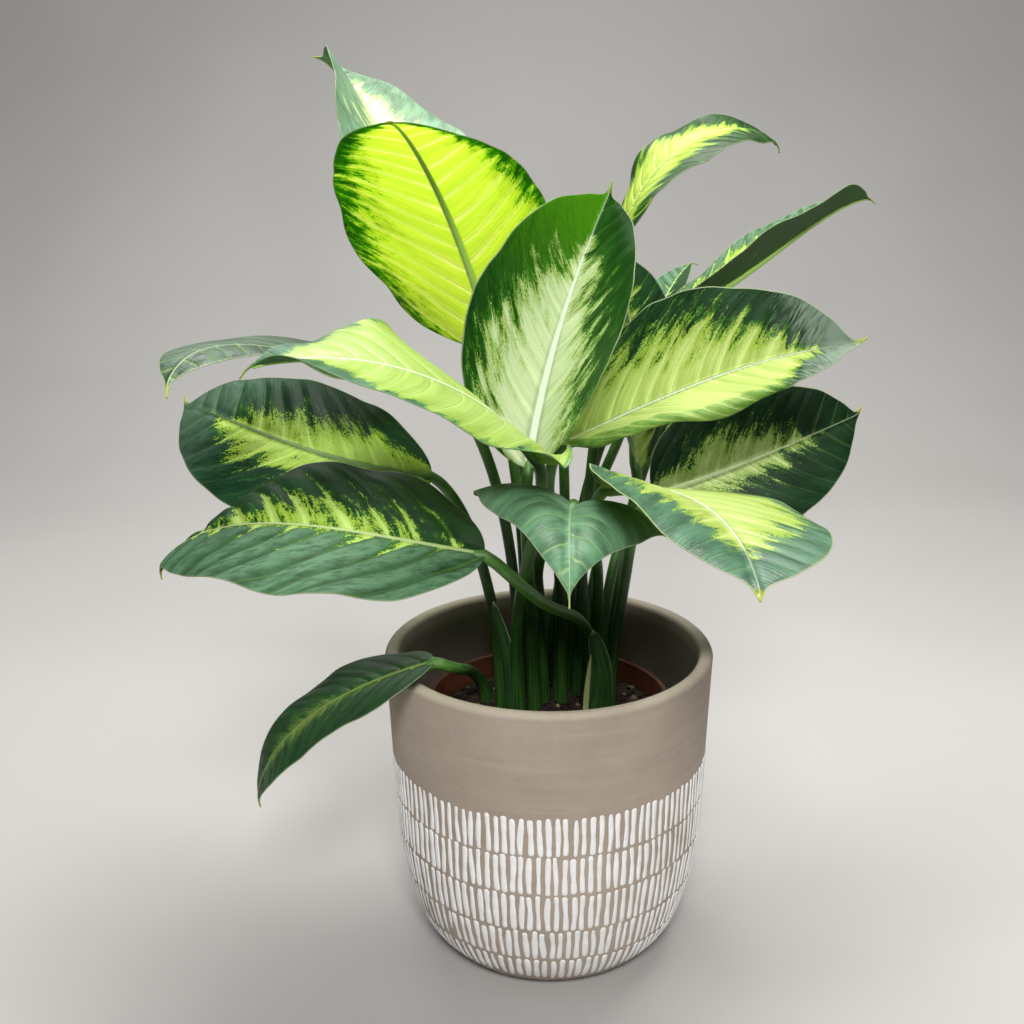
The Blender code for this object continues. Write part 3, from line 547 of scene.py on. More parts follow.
def blade_shell(leaf, seed):
    """The blade as a closed thin skin with the values that its material reads."""
    draw = random.Random(seed)
    even = np.linspace(0, 1, ROWS)
    shares = 0.45 * even + 0.55 * (1 - np.cos(math.pi * even)) / 2
    steps = np.linspace(-1, 1, COLUMNS)
    spread = np.sign(steps) * (0.42 * np.abs(steps) + 0.58 * (1 - np.cos(math.pi * np.abs(steps))) / 2)
    midrib, along, side, out = blade_frame(leaf, shares)
    width = outline(leaf, np.clip(shares, 1e-6, 1))[:, None]
    x = np.broadcast_to(spread, (ROWS, COLUMNS))
    u = np.broadcast_to(shares[:, None], (ROWS, COLUMNS))
    far = np.abs(x)
    left = x > 0
    half = leaf["width"] / 2
    # The margin wanders a little in the blade's own surface
    ragged = sum(
        np.sin(2 * math.pi * number * u + draw.uniform(0, 6.28) + 2.0 * left) / number for number in (4, 7, 11)
    )
    reach = np.maximum(half * width * (1 + leaf.get("ragged", 0.02) * ragged * far * ease(u, 0.0, 0.1)), TIP_HALF_WIDTH)
    places = x * reach
    late_left, late_right = leaf.get("late_fold", (0.0, 0.0))
    right_fold = leaf.get("fold_right", leaf["fold"])
    fold = np.radians(np.where(left, leaf["fold"] + late_left * u**8, right_fold + late_right * u**8))
    height, number, start = leaf["wave"]
    soft = np.sqrt(places**2 + 1.5**2) - 1.5
    lift = soft * np.sin(fold) - leaf["curl"] * reach * far**2
    swing = np.where(left, start, start + OTHER_SIDE_START)
    ripple = np.sin(2 * math.pi * number * u + swing) * height * width
    lift = lift + ripple * far**3
    frill = leaf.get("frill", 0.6)
    for pace, share in ((2.3, 0.9), (4.1, 0.6), (7.3, 0.25)):
        phase = draw.uniform(0, 6.28)
        lift = lift + frill * share * np.sin(2 * math.pi * pace * number * u / 2 + phase + 1.7 * left) * width * far**4
    for on_left, middle, length, rise in leaf.get("bumps", ()):
        near = np.exp(-(((u - middle) / length) ** 2)) * (left == on_left)
        lift = lift + rise * near * far**2
    # Side veins leave the midrib at a slant and bend towards the tip
    length = leaf["length"]
    veins = leaf.get("veins", 13)
    run = np.abs(places)
    rise = 0.5 * run + 0.5 * run**2 / half
    vein = veins * (u * length - rise) / length + np.where(left, 0.0, 0.4)
    vein = vein + 0.12 * np.sin(1.9 * vein + seed + 2.0 * left) + 0.05 * np.sin(run / 6.0 + 5.0 * vein)
    hollow = np.exp(-((np.sin(math.pi * vein) / 0.45) ** 2))
    band = ease(far, 0.0, 0.2) * (1 - ease(far, 0.72, 1.0)) * np.clip(width * 1.6, 0, 1)
    lift = lift + leaf["quilt"] * band * (0.5 - hollow)
    # The midrib stands up between two shallow grooves
    rib = leaf.get("rib", 1.0) * (1 - 0.75 * u)
    lift = lift + rib * (0.45 * np.exp(-((places / 1.0) ** 2)) - 0.55 * np.exp(-(((run - 2.3) / 1.1) ** 2)))
    # Stretches of the margin that roll over, turned in an arc from some way in
    across = places * np.cos(fold)
    hem = np.zeros((ROWS, COLUMNS))
    for on_left, first, last, inside, degrees in leaf.get("rolls", ()):
        share = ease(u, first, first + 0.08) * (1 - ease(u, last - 0.08, last)) * (left == on_left)
        inside = inside + 0.03 * np.sin(2 * math.pi * 4.3 * u + 1.0) + 0.015 * np.sin(2 * math.pi * 9.1 * u)
        beyond = np.clip(far - inside, 0, 1) * reach
        hem = hem + share * ease(far - inside, -0.015, 0.03)
        turn = np.radians(degrees) * share * np.clip((far - inside) / (1 - inside), 0, 1)
        safe = np.where(np.abs(turn) < 1e-3, 1e-3, turn)
        across = across - np.sign(x) * (beyond - beyond * np.sin(safe) / safe) * (np.abs(turn) >= 1e-3)
        lift = lift + beyond * (1 - np.cos(safe)) / safe * (np.abs(turn) >= 1e-3)
    upper = midrib[:, None] + across[..., None] * side[:, None] + lift[..., None] * out[:, None]
    # The lower face lies under the upper one, square to it
    flow_along = np.gradient(upper, axis=0)
    flow_across = np.gradient(upper, axis=1)
    square = unit(np.cross(flow_along, flow_across))
    square = np.where((width > 0.12)[..., None], square, out[:, None])
    thick = BLADE_THICKNESS * (0.5 + 0.5 * np.clip((1 - far) * 6, 0, 1))
    lower = upper - thick[..., None] * square
    count = ROWS * COLUMNS
    points = np.concatenate([upper.reshape(-1, 3), lower.reshape(-1, 3)])
    faces, numbers = [], []
    for row in range(ROWS - 1):
        for column in range(COLUMNS - 1):
            a = row * COLUMNS + column
            b, c, d = a + 1, a + COLUMNS + 1, a + COLUMNS
            faces.append((a, d, c, b))
            faces.append((count + a, count + b, count + c, count + d))
            numbers.extend((0, 1))
        for a, d in ((row * COLUMNS, (row + 1) * COLUMNS), ((row + 2) * COLUMNS - 1, (row + 1) * COLUMNS - 1)):
            faces.append((a, count + a, count + d, d))
            numbers.append(0)
    for row in (0, ROWS - 1):
        for column in range(COLUMNS - 1):
            a = row * COLUMNS + column
            ends = (a, a + 1, count + a + 1, count + a)
            faces.append(ends if row == 0 else ends[::-1])
            numbers.append(0)
    table = np.array(leaf["pale"], float)
    pale_left = np.interp(u, table[:, 0], table[:, 1])
    pale_right = np.interp(u, table[:, 0], table[:, 2])
    blend = np.clip(far / 0.12, 0, 1)
    pale = blend * np.where(left, pale_left, pale_right) + (1 - blend) * (pale_left + pale_right) / 2 - far
    edge = reach * (1 - far)
    first = np.stack([pale, run, edge], -1).reshape(-1, 3)
    second = np.stack([vein + 31.0 * left, np.sqrt(run**2 + rise**2) / 10, u], -1).reshape(-1, 3)
    attributes = {"zone": np.concatenate([first, first]), "flow": np.concatenate([second, second])}
    if "rolls" in leaf:
        third = np.stack([hem, hem, hem], -1).reshape(-1, 3)
        attributes["hem"] = np.concatenate([third, third])
    return points, faces, numbers, attributes


def stalk_path(leaf, count=40):
    foot = np.array([*leaf["foot"], SOIL_TOP], float)
    base = np.array(leaf["base"], float)
    _, along, side, out = blade_frame(leaf, np.zeros(1))
    arrive = unit(along[0] + np.array([0, 0, ARRIVE_LIFT]))
    path = curve_through([foot, *leaf["via"], base], (0, 0, 1), arrive, count)
    return path, side[0], out[0]


def stalk_shell(leaf):
    """The stalk and, running on from it, the rib under the blade."""
    path, side, out = stalk_path(leaf)
    thick = leaf.get("foot_radius", FOOT_RADIUS)
    sheath = leaf.get("sheath", SHEATH_SHARE)
    shares = np.linspace(0, 1, len(path))
    radii = thick + (STALK_RADIUS - thick) * np.clip(shares / sheath, 0, 1)
    rib_shares = np.linspace(0.03, 0.96, 40)
    midrib, _, _, rib_out = blade_frame(leaf, rib_shares)
    rib_radii = 0.35 + (STALK_RADIUS - 0.75) * (1 - rib_shares) ** 0.9
    rib = midrib - (0.62 * rib_radii + 0.5)[:, None] * rib_out
    below = path[-1] - out * 0.9
    path[-1] = below
    path[-2] = path[-2] - out * 0.45
    sunk = path[0] - np.array([0, 0, 6.0])
    whole = np.concatenate([[sunk], path, rib])
    radii = np.concatenate([[radii[0]], radii, rib_radii])
    points, faces = tube(whole, radii, side=side)
    total = len(whole)
    along = np.repeat(np.concatenate([[0], shares, 1 + rib_shares]), STALK_SIDES)
    turn = np.tile(np.arange(STALK_SIDES) / STALK_SIDES, total)
    values = np.stack([along, turn, np.repeat(radii, STALK_SIDES)], -1)
    return points, faces, 2, {"stem": values}


def leaf_skin(name, look, under, seed):
    """A blade's material: pale centre feathering along the veins into a green margin."""
    tree = Tree(name)
    pale, run, edge = tree.parts("zone")
    vein, reach, along = tree.parts("flow")

    def grain(across, down, shift, detail=1.0, rough=0.5):
        """Noise drawn out along the side veins."""
        place = tree.stretched(vein, reach, along, (across, down, 0.0))
        moved = tree.add("ShaderNodeVectorMath", settings={"operation": "ADD"}, i0=place, i1=(0.0, 0.0, seed * 3.7 + shift))
        return tree.noise(moved, 1.0, detail, rough)

    streak = look["streak"]
    fingers = grain(1.7, 0.55, 0.0)
    hairs = grain(7.5, 1.5, 5.0, 2.0, 0.6)
    specks = grain(26.0, 10.0, 9.0, 1.0, 0.6)
    zone = pale
    lobes, hairy = 1.5 * look.get("lobes", 1.0), 0.75 * look.get("hairs", 1.0)
    for pattern, times in ((fingers, lobes), (hairs, hairy), (specks, 0.7)):
        shift = tree.maths("MULTIPLY", tree.maths("SUBTRACT", pattern, 0.5), times * streak)
        zone = tree.maths("ADD", zone, shift)
    # Distance to the nearest side vein, 0 on it and 1 halfway between two
    wave = tree.maths("ABSOLUTE", tree.maths("SINE", tree.maths("MULTIPLY", vein, math.pi)))
    near = tree.scaled(reach, 0.0, 3.5, 0.30, 0.11)
    line = tree.scaled(tree.maths("DIVIDE", wave, near), 0.25, 1.0, 1.0, 0.0)
    broad = tree.scaled(wave, 0.0, 0.75, 1.0, 0.0)
    fine = tree.maths("ABSOLUTE", tree.maths("SINE", tree.maths("MULTIPLY", vein, 4 * math.pi)))
    fine_line = tree.scaled(fine, 0.05, 0.5, 1.0, 0.0)
    zone = tree.maths("ADD", zone, tree.maths("MULTIPLY", broad, look.get("along_veins", 0.12)))
    dark, green = look["dark"], look["green"]
    cream, heart = look["pale"], look["heart"]
    mottle = grain(1.1, 0.5, 13.0, 3.0, 0.6)
    patches = grain(4.0, 1.6, 17.0, 3.0, 0.65)
    dark_zone = tree.mix(tree.scaled(mottle, 0.3, 0.7), tuple(0.75 * c for c in dark), tuple(1.5 * c for c in dark))
    dark_zone = tree.mix(tree.maths("MULTIPLY", tree.scaled(patches, 0.45, 0.75), 0.2), dark_zone, green)
    # Painted light towards the tip: for lime and deep_lime a grey-green sheen on the margin; with tip_side, as in
    # cream, the glow of light shining through, on the left half only.
    if "tip_painted_light" in look:
        far_out = tree.maths("ADD", along, tree.maths("MULTIPLY", tree.maths("SUBTRACT", hairs, 0.5), 0.35))
        start = look.get("tip_from", 0.68)
        share = tree.scaled(far_out, start, 0.90, 0.0, 0.9)
        if "tip_side" in look:
            share = tree.maths("MULTIPLY", share, tree.maths("GREATER_THAN", vein, 25.0))
        dark_zone = tree.mix(share, dark_zone, look["tip_painted_light"])
    if "ridge_sheen" in look:
        # Painted sheen: the near half is painted paler between its veins, where it swells up and catches the light
        sheen_on_ridges = tree.maths("MULTIPLY", tree.scaled(wave, 0.15, 0.9, 0.35, 1.0), tree.scaled(patches, 0.25, 0.65, 0.3, 1.0))
        sheen_on_ridges = tree.maths("MULTIPLY", sheen_on_ridges, tree.maths("GREATER_THAN", vein, 25.0))
        dark_zone = tree.mix(tree.maths("MULTIPLY", sheen_on_ridges, 0.75), dark_zone, look["ridge_sheen"])
    between = tree.maths("ADD", zone, tree.maths("MULTIPLY", tree.maths("SUBTRACT", patches, 0.42), 0.9))
    deep = tree.mix(tree.scaled(between, -0.06, 0.02, 0.0, 0.85), dark_zone, green)
    tinted = tree.mix(tree.scaled(mottle, 0.35, 0.68), tuple(0.82 * c for c in cream), cream)
    bands = tree.scaled(grain(4.2, 0.16, 29.0, 1.0), 0.38, 0.62)
    middle = tree.mix(tree.scaled(zone, 0.0, 0.045), deep, tinted)
    colour = tree.mix(tree.scaled(zone, 0.06, 0.36), middle, heart)
    lit = tree.scaled(zone, -0.05, 0.15)
    shade = tuple(0.62 * a + 0.38 * b for a, b in zip(cream, green))
    colour = tree.mix(tree.maths("MULTIPLY", tree.maths("MULTIPLY", bands, lit), look.get("bands", 0.38)), colour, shade)
    if "hem" in look:
        rolled = tree.parts("hem")[0]
        patchy = tree.maths("MULTIPLY", rolled, tree.scaled(patches, 0.3, 0.62, 0.95, 0.6))
        colour = tree.mix(patchy, colour, look["hem"])
    lines_dark, lines_pale = look.get("lines", (0.10, 0.5))
    pale_line = look.get("line", tuple(min(1.0, 1.15 * c + 0.04) for c in heart))
    green_line = tuple(0.45 * a + 0.55 * b for a, b in zip(green, cream))
    dark_line = tree.mix(tree.maths("MULTIPLY", line, lines_dark), colour, green_line)
    light_line = tree.mix(tree.maths("MULTIPLY", line, lines_pale), colour, pale_line)
    light_line = tree.mix(tree.maths("MULTIPLY", broad, 0.30 * lines_pale), light_line, pale_line)
    light_line = tree.mix(tree.maths("MULTIPLY", fine_line, 0.12), light_line, tuple(0.7 * c for c in cream))
    veined = tree.mix(lit, dark_line, light_line)
    # The midrib narrows towards the tip
    rib_width = tree.scaled(along, 0.0, 1.0, look.get("rib_width", 1.5), 0.35)
    rib = tree.scaled(tree.maths("DIVIDE", run, rib_width), 0.55, 1.0, 1.0, 0.0)
    # Painted shade in the grooves beside the midrib: a darker band on each side, broken into dots for looks that set
    # groove.
    groove_shade = tree.scaled(tree.maths("DIVIDE", run, rib_width), 0.9, 1.9, look.get("groove_shade", 0.30), 0.0)
    if "groove_shade" in look:
        groove_shade = tree.maths("MULTIPLY", groove_shade, tree.scaled(specks, 0.35, 0.6, 0.3, 1.0))
    rib_pale = look.get("rib", tuple(0.7 * a + 0.3 * b for a, b in zip(heart, (0.8, 0.85, 0.7))))
    if under:
        rib_pale = tuple(0.55 * a + 0.45 * b for a, b in zip(green, cream))
    shaded = tree.mix(groove_shade, veined, look.get("groove_shade_colour", tuple(0.6 * c for c in green)))
    ribbed = tree.mix(tree.maths("MULTIPLY", rib, tree.scaled(lit, 0, 1, look.get("rib_dark", 0.35), 0.95)), shaded, rib_pale)
    rim = tree.scaled(edge, 0.2, 0.6, 0.75, 0.0)
    rimmed = tree.mix(rim, ribbed, look.get("rim", (0.36, 0.46, 0.24)))
    tip = tree.scaled(along, 0.955, 0.985, 0.0, 0.85)
    done = tree.mix(tip, rimmed, look.get("tip", (0.42, 0.48, 0.06)))
    if under:
        done = tree.mix(0.35, done, (0.09, 0.22, 0.03))
    ridges = grain(12.0, 1.5, 21.0, 2.0)
    cells = grain(40.0, 14.0, 23.0, 2.0)
    height = tree.maths("ADD", tree.maths("MULTIPLY", ridges, 0.5), tree.maths("MULTIPLY", cells, 0.35))
    height = tree.maths("ADD", height, tree.maths("MULTIPLY", fine_line, -0.3))
    height = tree.maths("ADD", height, tree.maths("MULTIPLY", line, -1.0))
    normal = tree.bump(height, 0.55 if not under else 0.8, 0.0003)
    smooth, dull = look.get("rough", (0.30, 0.44)) if not under else (0.5, 0.62)
    gloss = tree.scaled(mottle, 0.25, 0.75, smooth, dull)
    tree.finish(done, gloss, normal, Specular_IOR_Level=look.get("shine", 0.42) if not under else 0.3)
    through = tree.nodes.new("ShaderNodeBsdfTranslucent")
    yellower = tree.mix(1.0, done, look.get("light", (0.95, 1.0, 0.25)), "MULTIPLY")
    passed = tree.mix(0.6, done, yellower)
    if "extra" in look:
        passed = tree.mix(1.0, passed, look["extra"], "ADD")
    tree.put(through.inputs["Color"], passed)
    tree.links.new(normal, through.inputs["Normal"])
    both = tree.nodes.new("ShaderNodeMixShader")
    both.inputs[0].default_value = look["through"]
    tree.links.new(tree.shader.outputs[0], both.inputs[1])
    tree.links.new(through.outputs[0], both.inputs[2])
    tree.links.new(both.outputs[0], tree.nodes["Material Output"].inputs["Surface"])
    return tree.material


def stalk_skin():
    tree = Tree("stalk")
    along, turn, _ = tree.parts("stem")
    streaks = tree.noise(tree.stretched(along, turn, 0.0, (3.0, 26.0, 0.0)), 1.0, 3.0)
    blotch = tree.noise(tree.stretched(along, turn, 0.0, (14.0, 3.0, 0.0)), 1.0, 3.0)
    # Painted shade: the stalks are painted darkest low down among the leaf bases and lighter higher up.
    low = tree.mix(tree.scaled(streaks, 0.35, 0.7), (0.006, 0.026, 0.004), (0.030, 0.105, 0.014))
    high = tree.mix(tree.scaled(blotch, 0.3, 0.7), (0.03, 0.11, 0.014), (0.085, 0.21, 0.03))
    colour = tree.mix(tree.scaled(along, 0.25, 0.9), low, high)
    rib = tree.mix(tree.scaled(along, 1.0, 1.15), colour, (0.30, 0.48, 0.10))
    normal = tree.bump(streaks, 0.35, 0.0004)
    return tree.finish(rib, tree.scaled(blotch, 0.2, 0.8, 0.34, 0.5), normal, Specular_IOR_Level=0.5)


def make_leaves():
    stalk = stalk_skin()
    for number, (name, leaf) in enumerate(LEAVES.items()):
        seed = number + 1
        look = LOOKS[leaf["look"]]
        shells = [blade_shell(leaf, seed), stalk_shell(leaf)]
        piece = join_shells(name.replace("leaf_", "foliage_"), shells)
        piece.data.materials.append(leaf_skin(name + "_upper", look, False, seed))
        piece.data.materials.append(leaf_skin(name + "_under", look, True, seed))
        piece.data.materials.append(stalk)
        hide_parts(name)


def sheath_shell(points, half, facing, round_by):
    """A thin leaf base that wraps a stalk: a strip along the points, bent round and drawn to a free tip."""
    count, sides = 26, 15
    path = curve_through(points, (0, 0, 1), unit(np.array(points[-1]) - np.array(points[-2])), count)
    ways = unit(np.gradient(path, axis=0))
    faced = unit(np.asarray(facing, float) - ways * (ways @ np.asarray(facing, float))[:, None])
    across = np.cross(ways, faced)
    shares = np.linspace(0, 1, count)
    wide = np.maximum(half * (1 - shares**4.5) ** 0.6 * (1 - 0.25 * shares), 0.3)[:, None]
    steps = np.linspace(-1, 1, sides)
    angle = steps * wide / round_by
    layers = []
    for radius in (round_by, round_by - BLADE_THICKNESS):
        out = (radius * np.cos(angle) - round_by)[..., None] * faced[:, None]
        layers.append((path[:, None] + out + (radius * np.sin(angle))[..., None] * across[:, None]).reshape(-1, 3))
    size = count * sides
    faces = []
    for row in range(count - 1):
        for column in range(sides - 1):
            a = row * sides + column
            faces.append((a, a + 1, a + sides + 1, a + sides))
            faces.append((size + a, size + a + sides, size + a + sides + 1, size + a + 1))
        for a in (row * sides, row * sides + sides - 1):
            faces.append((a, a + sides, size + a + sides, size + a))
    for start in (0, size - sides):
        for a in range(start, start + sides - 1):
            faces.append((a, size + a, size + a + 1, a + 1))
    values = np.stack([np.repeat(shares, sides), np.tile(np.abs(steps), count), np.zeros(size)], -1)
    return np.concatenate(layers), faces, 0, {"stem": np.concatenate([values, values])}


def sheath_skin(name, dark, light, margin):
    tree = Tree(name)
    along, aside, _ = tree.parts("stem")
    streaks = tree.noise(tree.stretched(along, aside, 0.0, (2.0, 14.0, 0.0)), 1.0, 3.0)
    colour = tree.mix(tree.scaled(streaks, 0.35, 0.68), dark, light)
    edged = tree.mix(tree.scaled(aside, 0.88, 0.97, 0.0, 0.85), colour, margin)
    dried = tree.mix(tree.scaled(along, 0.95, 0.99, 0.0, 0.9), edged, (0.42, 0.40, 0.20))
    return tree.finish(dried, tree.scaled(streaks, 0.3, 0.7, 0.36, 0.5), tree.bump(streaks, 0.4, 0.0004))


def make_sheaths():
    """Leaf bases with free tips among the stalks, a thin old leaf base and a ringed cane."""
    green = [
        sheath_shell([(-19, -6, 112), (-20, -9, 148), (-26.5, -9, 180)], 5.4, (-0.4, -1, 0), 4.6),
        sheath_shell([(25.5, -6, 112), (26.5, -9.5, 143), (21.5, -8.5, 165)], 8.0, (0.25, -1, 0), 6.2),
        sheath_shell([(-6, 44, 112), (-5, 47, 150), (-7, 50, 190)], 4.4, (-0.3, 1, 0), 4.8),
        sheath_shell([(20, 42, 112), (22, 48, 150), (26, 56, 184)], 4.4, (0.3, 1, 0), 4.8),
    ]
    piece = join_shells("leaf_sheaths", green)
    piece.data.materials.append(sheath_skin("sheath", (0.008, 0.034, 0.008), (0.03, 0.105, 0.02), (0.36, 0.48, 0.30)))
    strip = join_shells("old_leaf_base", [sheath_shell([(18.2, -7, 112), (18.6, -9, 132), (20.6, -9, 153)], 1.5, (0, -1, 0), 3.0)])
    strip.data.materials.append(sheath_skin("old sheath", (0.22, 0.26, 0.08), (0.42, 0.46, 0.18), (0.5, 0.5, 0.28)))
    steps = np.linspace(-1, 1, 9)
    u, v = np.meshgrid(steps, steps)
    reach = np.sqrt(1 - 0.5 * v**2)
    scrap = np.stack([-27.5 + 3.4 * u * reach, -13.0 + 2.4 * v * np.sqrt(1 - 0.5 * u**2), 119.6 + 0.9 * u**2 + 0.5 * u * v], -1).reshape(-1, 3)
    faces = [(9 * r + c, 9 * r + c + 1, 9 * r + c + 10, 9 * r + c + 9) for r in range(8) for c in range(8)]
    faces += [tuple(81 + i for i in face[::-1]) for face in faces]
    rim = [9 * 0 + i for i in range(9)] + [9 * i + 8 for i in range(1, 9)] + [72 + i for i in range(7, -1, -1)] + [9 * i for i in range(7, 0, -1)]
    faces += [(b, a, 81 + a, 81 + b) for a, b in zip(rim, rim[1:] + rim[:1])]
    values = np.stack([0.5 + 0.1 * u, 0.5 * np.abs(v), 0 * u], -1).reshape(-1, 3)
    scrap = (np.concatenate([scrap, scrap - (0, 0, 0.5)]), faces, 0, {"stem": np.concatenate([values, values])})
    scrap = join_shells("leaf_scrap", [scrap])
    scrap.data.materials.append(sheath_skin("scrap", (0.20, 0.34, 0.06), (0.34, 0.50, 0.14), (0.5, 0.55, 0.3)))
    heights = np.linspace(110, 197, 88)
    path = np.stack([-8.4 + 0.017 * (heights - 110), 6.0 + 0 * heights, heights], -1)
    rings = 2.3 + 0.35 * np.maximum(0, np.sin(heights * 2 * math.pi / 7.5)) ** 6
    rings[-4:] *= np.array([0.95, 0.85, 0.65, 0.3])
    points, faces = tube(path, rings)
    values = np.stack([np.repeat(heights, STALK_SIDES)] * 3, -1)
    cane = join_shells("cane", [(points, faces, 0, {"stem": values})])
    tree = Tree("cane")
    height, _, _ = tree.parts("stem")
    place = tree.add("ShaderNodeTexCoord", out=3)
    rough = tree.noise(place, 300.0, 3.0)
    ring = tree.maths("SINE", tree.maths("MULTIPLY", height, 2 * math.pi / 7.5))
    base = tree.mix(tree.scaled(rough, 0.35, 0.65), (0.045, 0.05, 0.012), (0.13, 0.12, 0.035))
    tree.finish(tree.mix(tree.scaled(ring, 0.7, 1.0, 0.0, 0.8), base, (0.20, 0.13, 0.05)), 0.6, tree.bump(rough, 0.5, 0.0004))
    cane.data.materials.append(tree.material)


# Pots and soil

def smooth_profile(points, count):
    """A smooth run through (radius, height) points, evenly spaced."""
    points = np.array(points, float)
    steps = np.concatenate([[0], np.cumsum(np.linalg.norm(np.diff(points, axis=0), axis=1))])
    first = unit(points[1] - points[0])
    last = unit(points[-1] - points[-2])
    pad = np.zeros((len(points), 1))
    path = curve_through(np.hstack([points, pad]), (*first, 0), (*last, 0), count)
    return path[:, :2]


def pot_radius(height):
    heights = [h for _, h in POT_SIDE]
    radii = [r for r, _ in POT_SIDE]
    fine = smooth_profile(POT_SIDE[2:], 200)
    return float(np.interp(height, fine[:, 1], fine[:, 0])) if height > POT_SIDE[2][1] else float(np.interp(height, heights, radii))


def lathe(profile, steps, wobble=0.0, seed=0.0):
    """Points and faces of a profile, as (radius, height) pairs up the outer side first, turned about Z."""
    rings = []
    for step in range(steps):
        angle = 2 * math.pi * step / steps
        c, s = math.cos(angle), math.sin(angle)
        for radius, height in profile:
            shift = wobble * noise.noise(Vector((1.6 * c, 1.6 * s, height * 0.02 + seed))) if wobble else 0.0
            rings.append(((radius + shift) * c, (radius + shift) * s, height))
    size = len(profile)
    faces = []
    for step in range(steps):
        here, after = step * size, (step + 1) % steps * size
        for i in range(size - 1):
            faces.append((here + i, after + i, after + i + 1, here + i + 1))
    return np.array(rings), faces


def clay_skin():
    tree = Tree("fired clay")
    place = tree.add("ShaderNodeTexCoord", out=3)
    split = tree.nodes.new("ShaderNodeSeparateXYZ")
    tree.links.new(place, split.inputs[0])
    x, y, z = split.outputs
    turn = tree.stretched(x, y, z, (9.0, 9.0, 190.0))
    wiped = tree.noise(turn, 1.0, 4.0, 0.6)
    grain = tree.noise(place, 900.0, 3.0, 0.7)
    cloud = tree.noise(place, 11.0, 5.0, 0.6)
    pits = tree.add("ShaderNodeTexVoronoi", Vector=place, Scale=120.0)
    base = tree.mix(tree.scaled(cloud, 0.3, 0.72), (0.315, 0.255, 0.208), (0.43, 0.360, 0.300))
    worn = tree.mix(tree.maths("MULTIPLY", tree.scaled(wiped, 0.35, 0.75), 0.35), base, (0.45, 0.385, 0.325))
    grained = tree.mix(tree.maths("MULTIPLY", tree.scaled(grain, 0.45, 0.8), 0.25), worn, (0.23, 0.185, 0.15))
    pinned = tree.mix(tree.scaled(pits, 0.03, 0.05, 0.7, 0.0), grained, (0.12, 0.095, 0.075))
    # Painted shade on the inside, below the lip, where the leaves shade it
    round_by = tree.maths("SQRT", tree.maths("ADD", tree.maths("MULTIPLY", x, x), tree.maths("MULTIPLY", y, y)))
    inside = tree.maths("MULTIPLY", tree.scaled(round_by, 0.0735, 0.0725), tree.scaled(z, 0.1525, 0.1440))
    inside = tree.maths("MULTIPLY", inside, tree.scaled(z, 0.100, 0.112))
    pinned = tree.mix(tree.maths("MULTIPLY", inside, 0.6), pinned, (0.10, 0.085, 0.06))
    # Lighter over the top of the lip.
    lip_top_lighter = tree.maths("MULTIPLY", tree.scaled(z, 0.1525, 0.1548), tree.scaled(cloud, 0.35, 0.6, 0.25, 0.7))
    pinned = tree.mix(lip_top_lighter, pinned, (0.52, 0.47, 0.36))
    height = tree.maths("ADD", tree.maths("MULTIPLY", wiped, 0.5), tree.maths("MULTIPLY", grain, 0.35))
    normal = tree.bump(height, 0.45, 0.0005)
    return tree.finish(pinned, tree.scaled(cloud, 0.3, 0.7, 0.62, 0.8), normal, Specular_IOR_Level=0.3)


def slip_skin():
    tree = Tree("white slip")
    place = tree.add("ShaderNodeTexCoord", out=3)
    cloud = tree.noise(place, 160.0, 3.0)
    grain = tree.noise(place, 1400.0, 3.0, 0.7)
    colour = tree.mix(tree.scaled(cloud, 0.3, 0.75), (0.80, 0.80, 0.81), (0.88, 0.88, 0.88))
    worn = tree.mix(tree.maths("MULTIPLY", tree.scaled(grain, 0.5, 0.85), 0.3), colour, (0.62, 0.58, 0.54))
    normal = tree.bump(tree.maths("ADD", grain, cloud), 0.4, 0.0004)
    return tree.finish(worn, tree.scaled(cloud, 0.3, 0.7, 0.55, 0.72), normal, Specular_IOR_Level=0.3)


def make_cover_pot():
    outer = smooth_profile(POT_SIDE, 90)
    top = POT_HEIGHT - POT_LIP_ROUNDING
    inner_rim = POT_RIM_RADIUS - POT_WALL
    lip = []
    for step in range(1, 10):
        angle = math.pi / 2 * step / 9
        lip.append((POT_RIM_RADIUS - POT_LIP_ROUNDING * (1 - math.cos(angle)), top + POT_LIP_ROUNDING * math.sin(angle)))
    for step in range(0, 10):
        angle = math.pi / 2 * (1 - step / 9)
        lip.append((inner_rim + POT_LIP_ROUNDING * (1 - math.cos(angle)), top + POT_LIP_ROUNDING * math.sin(angle)))
    inside = [(r - POT_WALL, h) for r, h in outer[::-1] if h > POT_FLOOR + 6 and h < top - 2]
    floor = [(58.0, POT_FLOOR + 4.0), (52.0, POT_FLOOR), (0.01, POT_FLOOR)]
    profile = [(0.01, 0.0)] + [tuple(p) for p in outer] + lip + inside + floor
    points, faces = lathe(profile, 160, wobble=0.25)
    piece = join_shells("planter", [(points, faces, 0, {})])
    piece.data.materials.append(clay_skin())
    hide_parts("cover_pot")


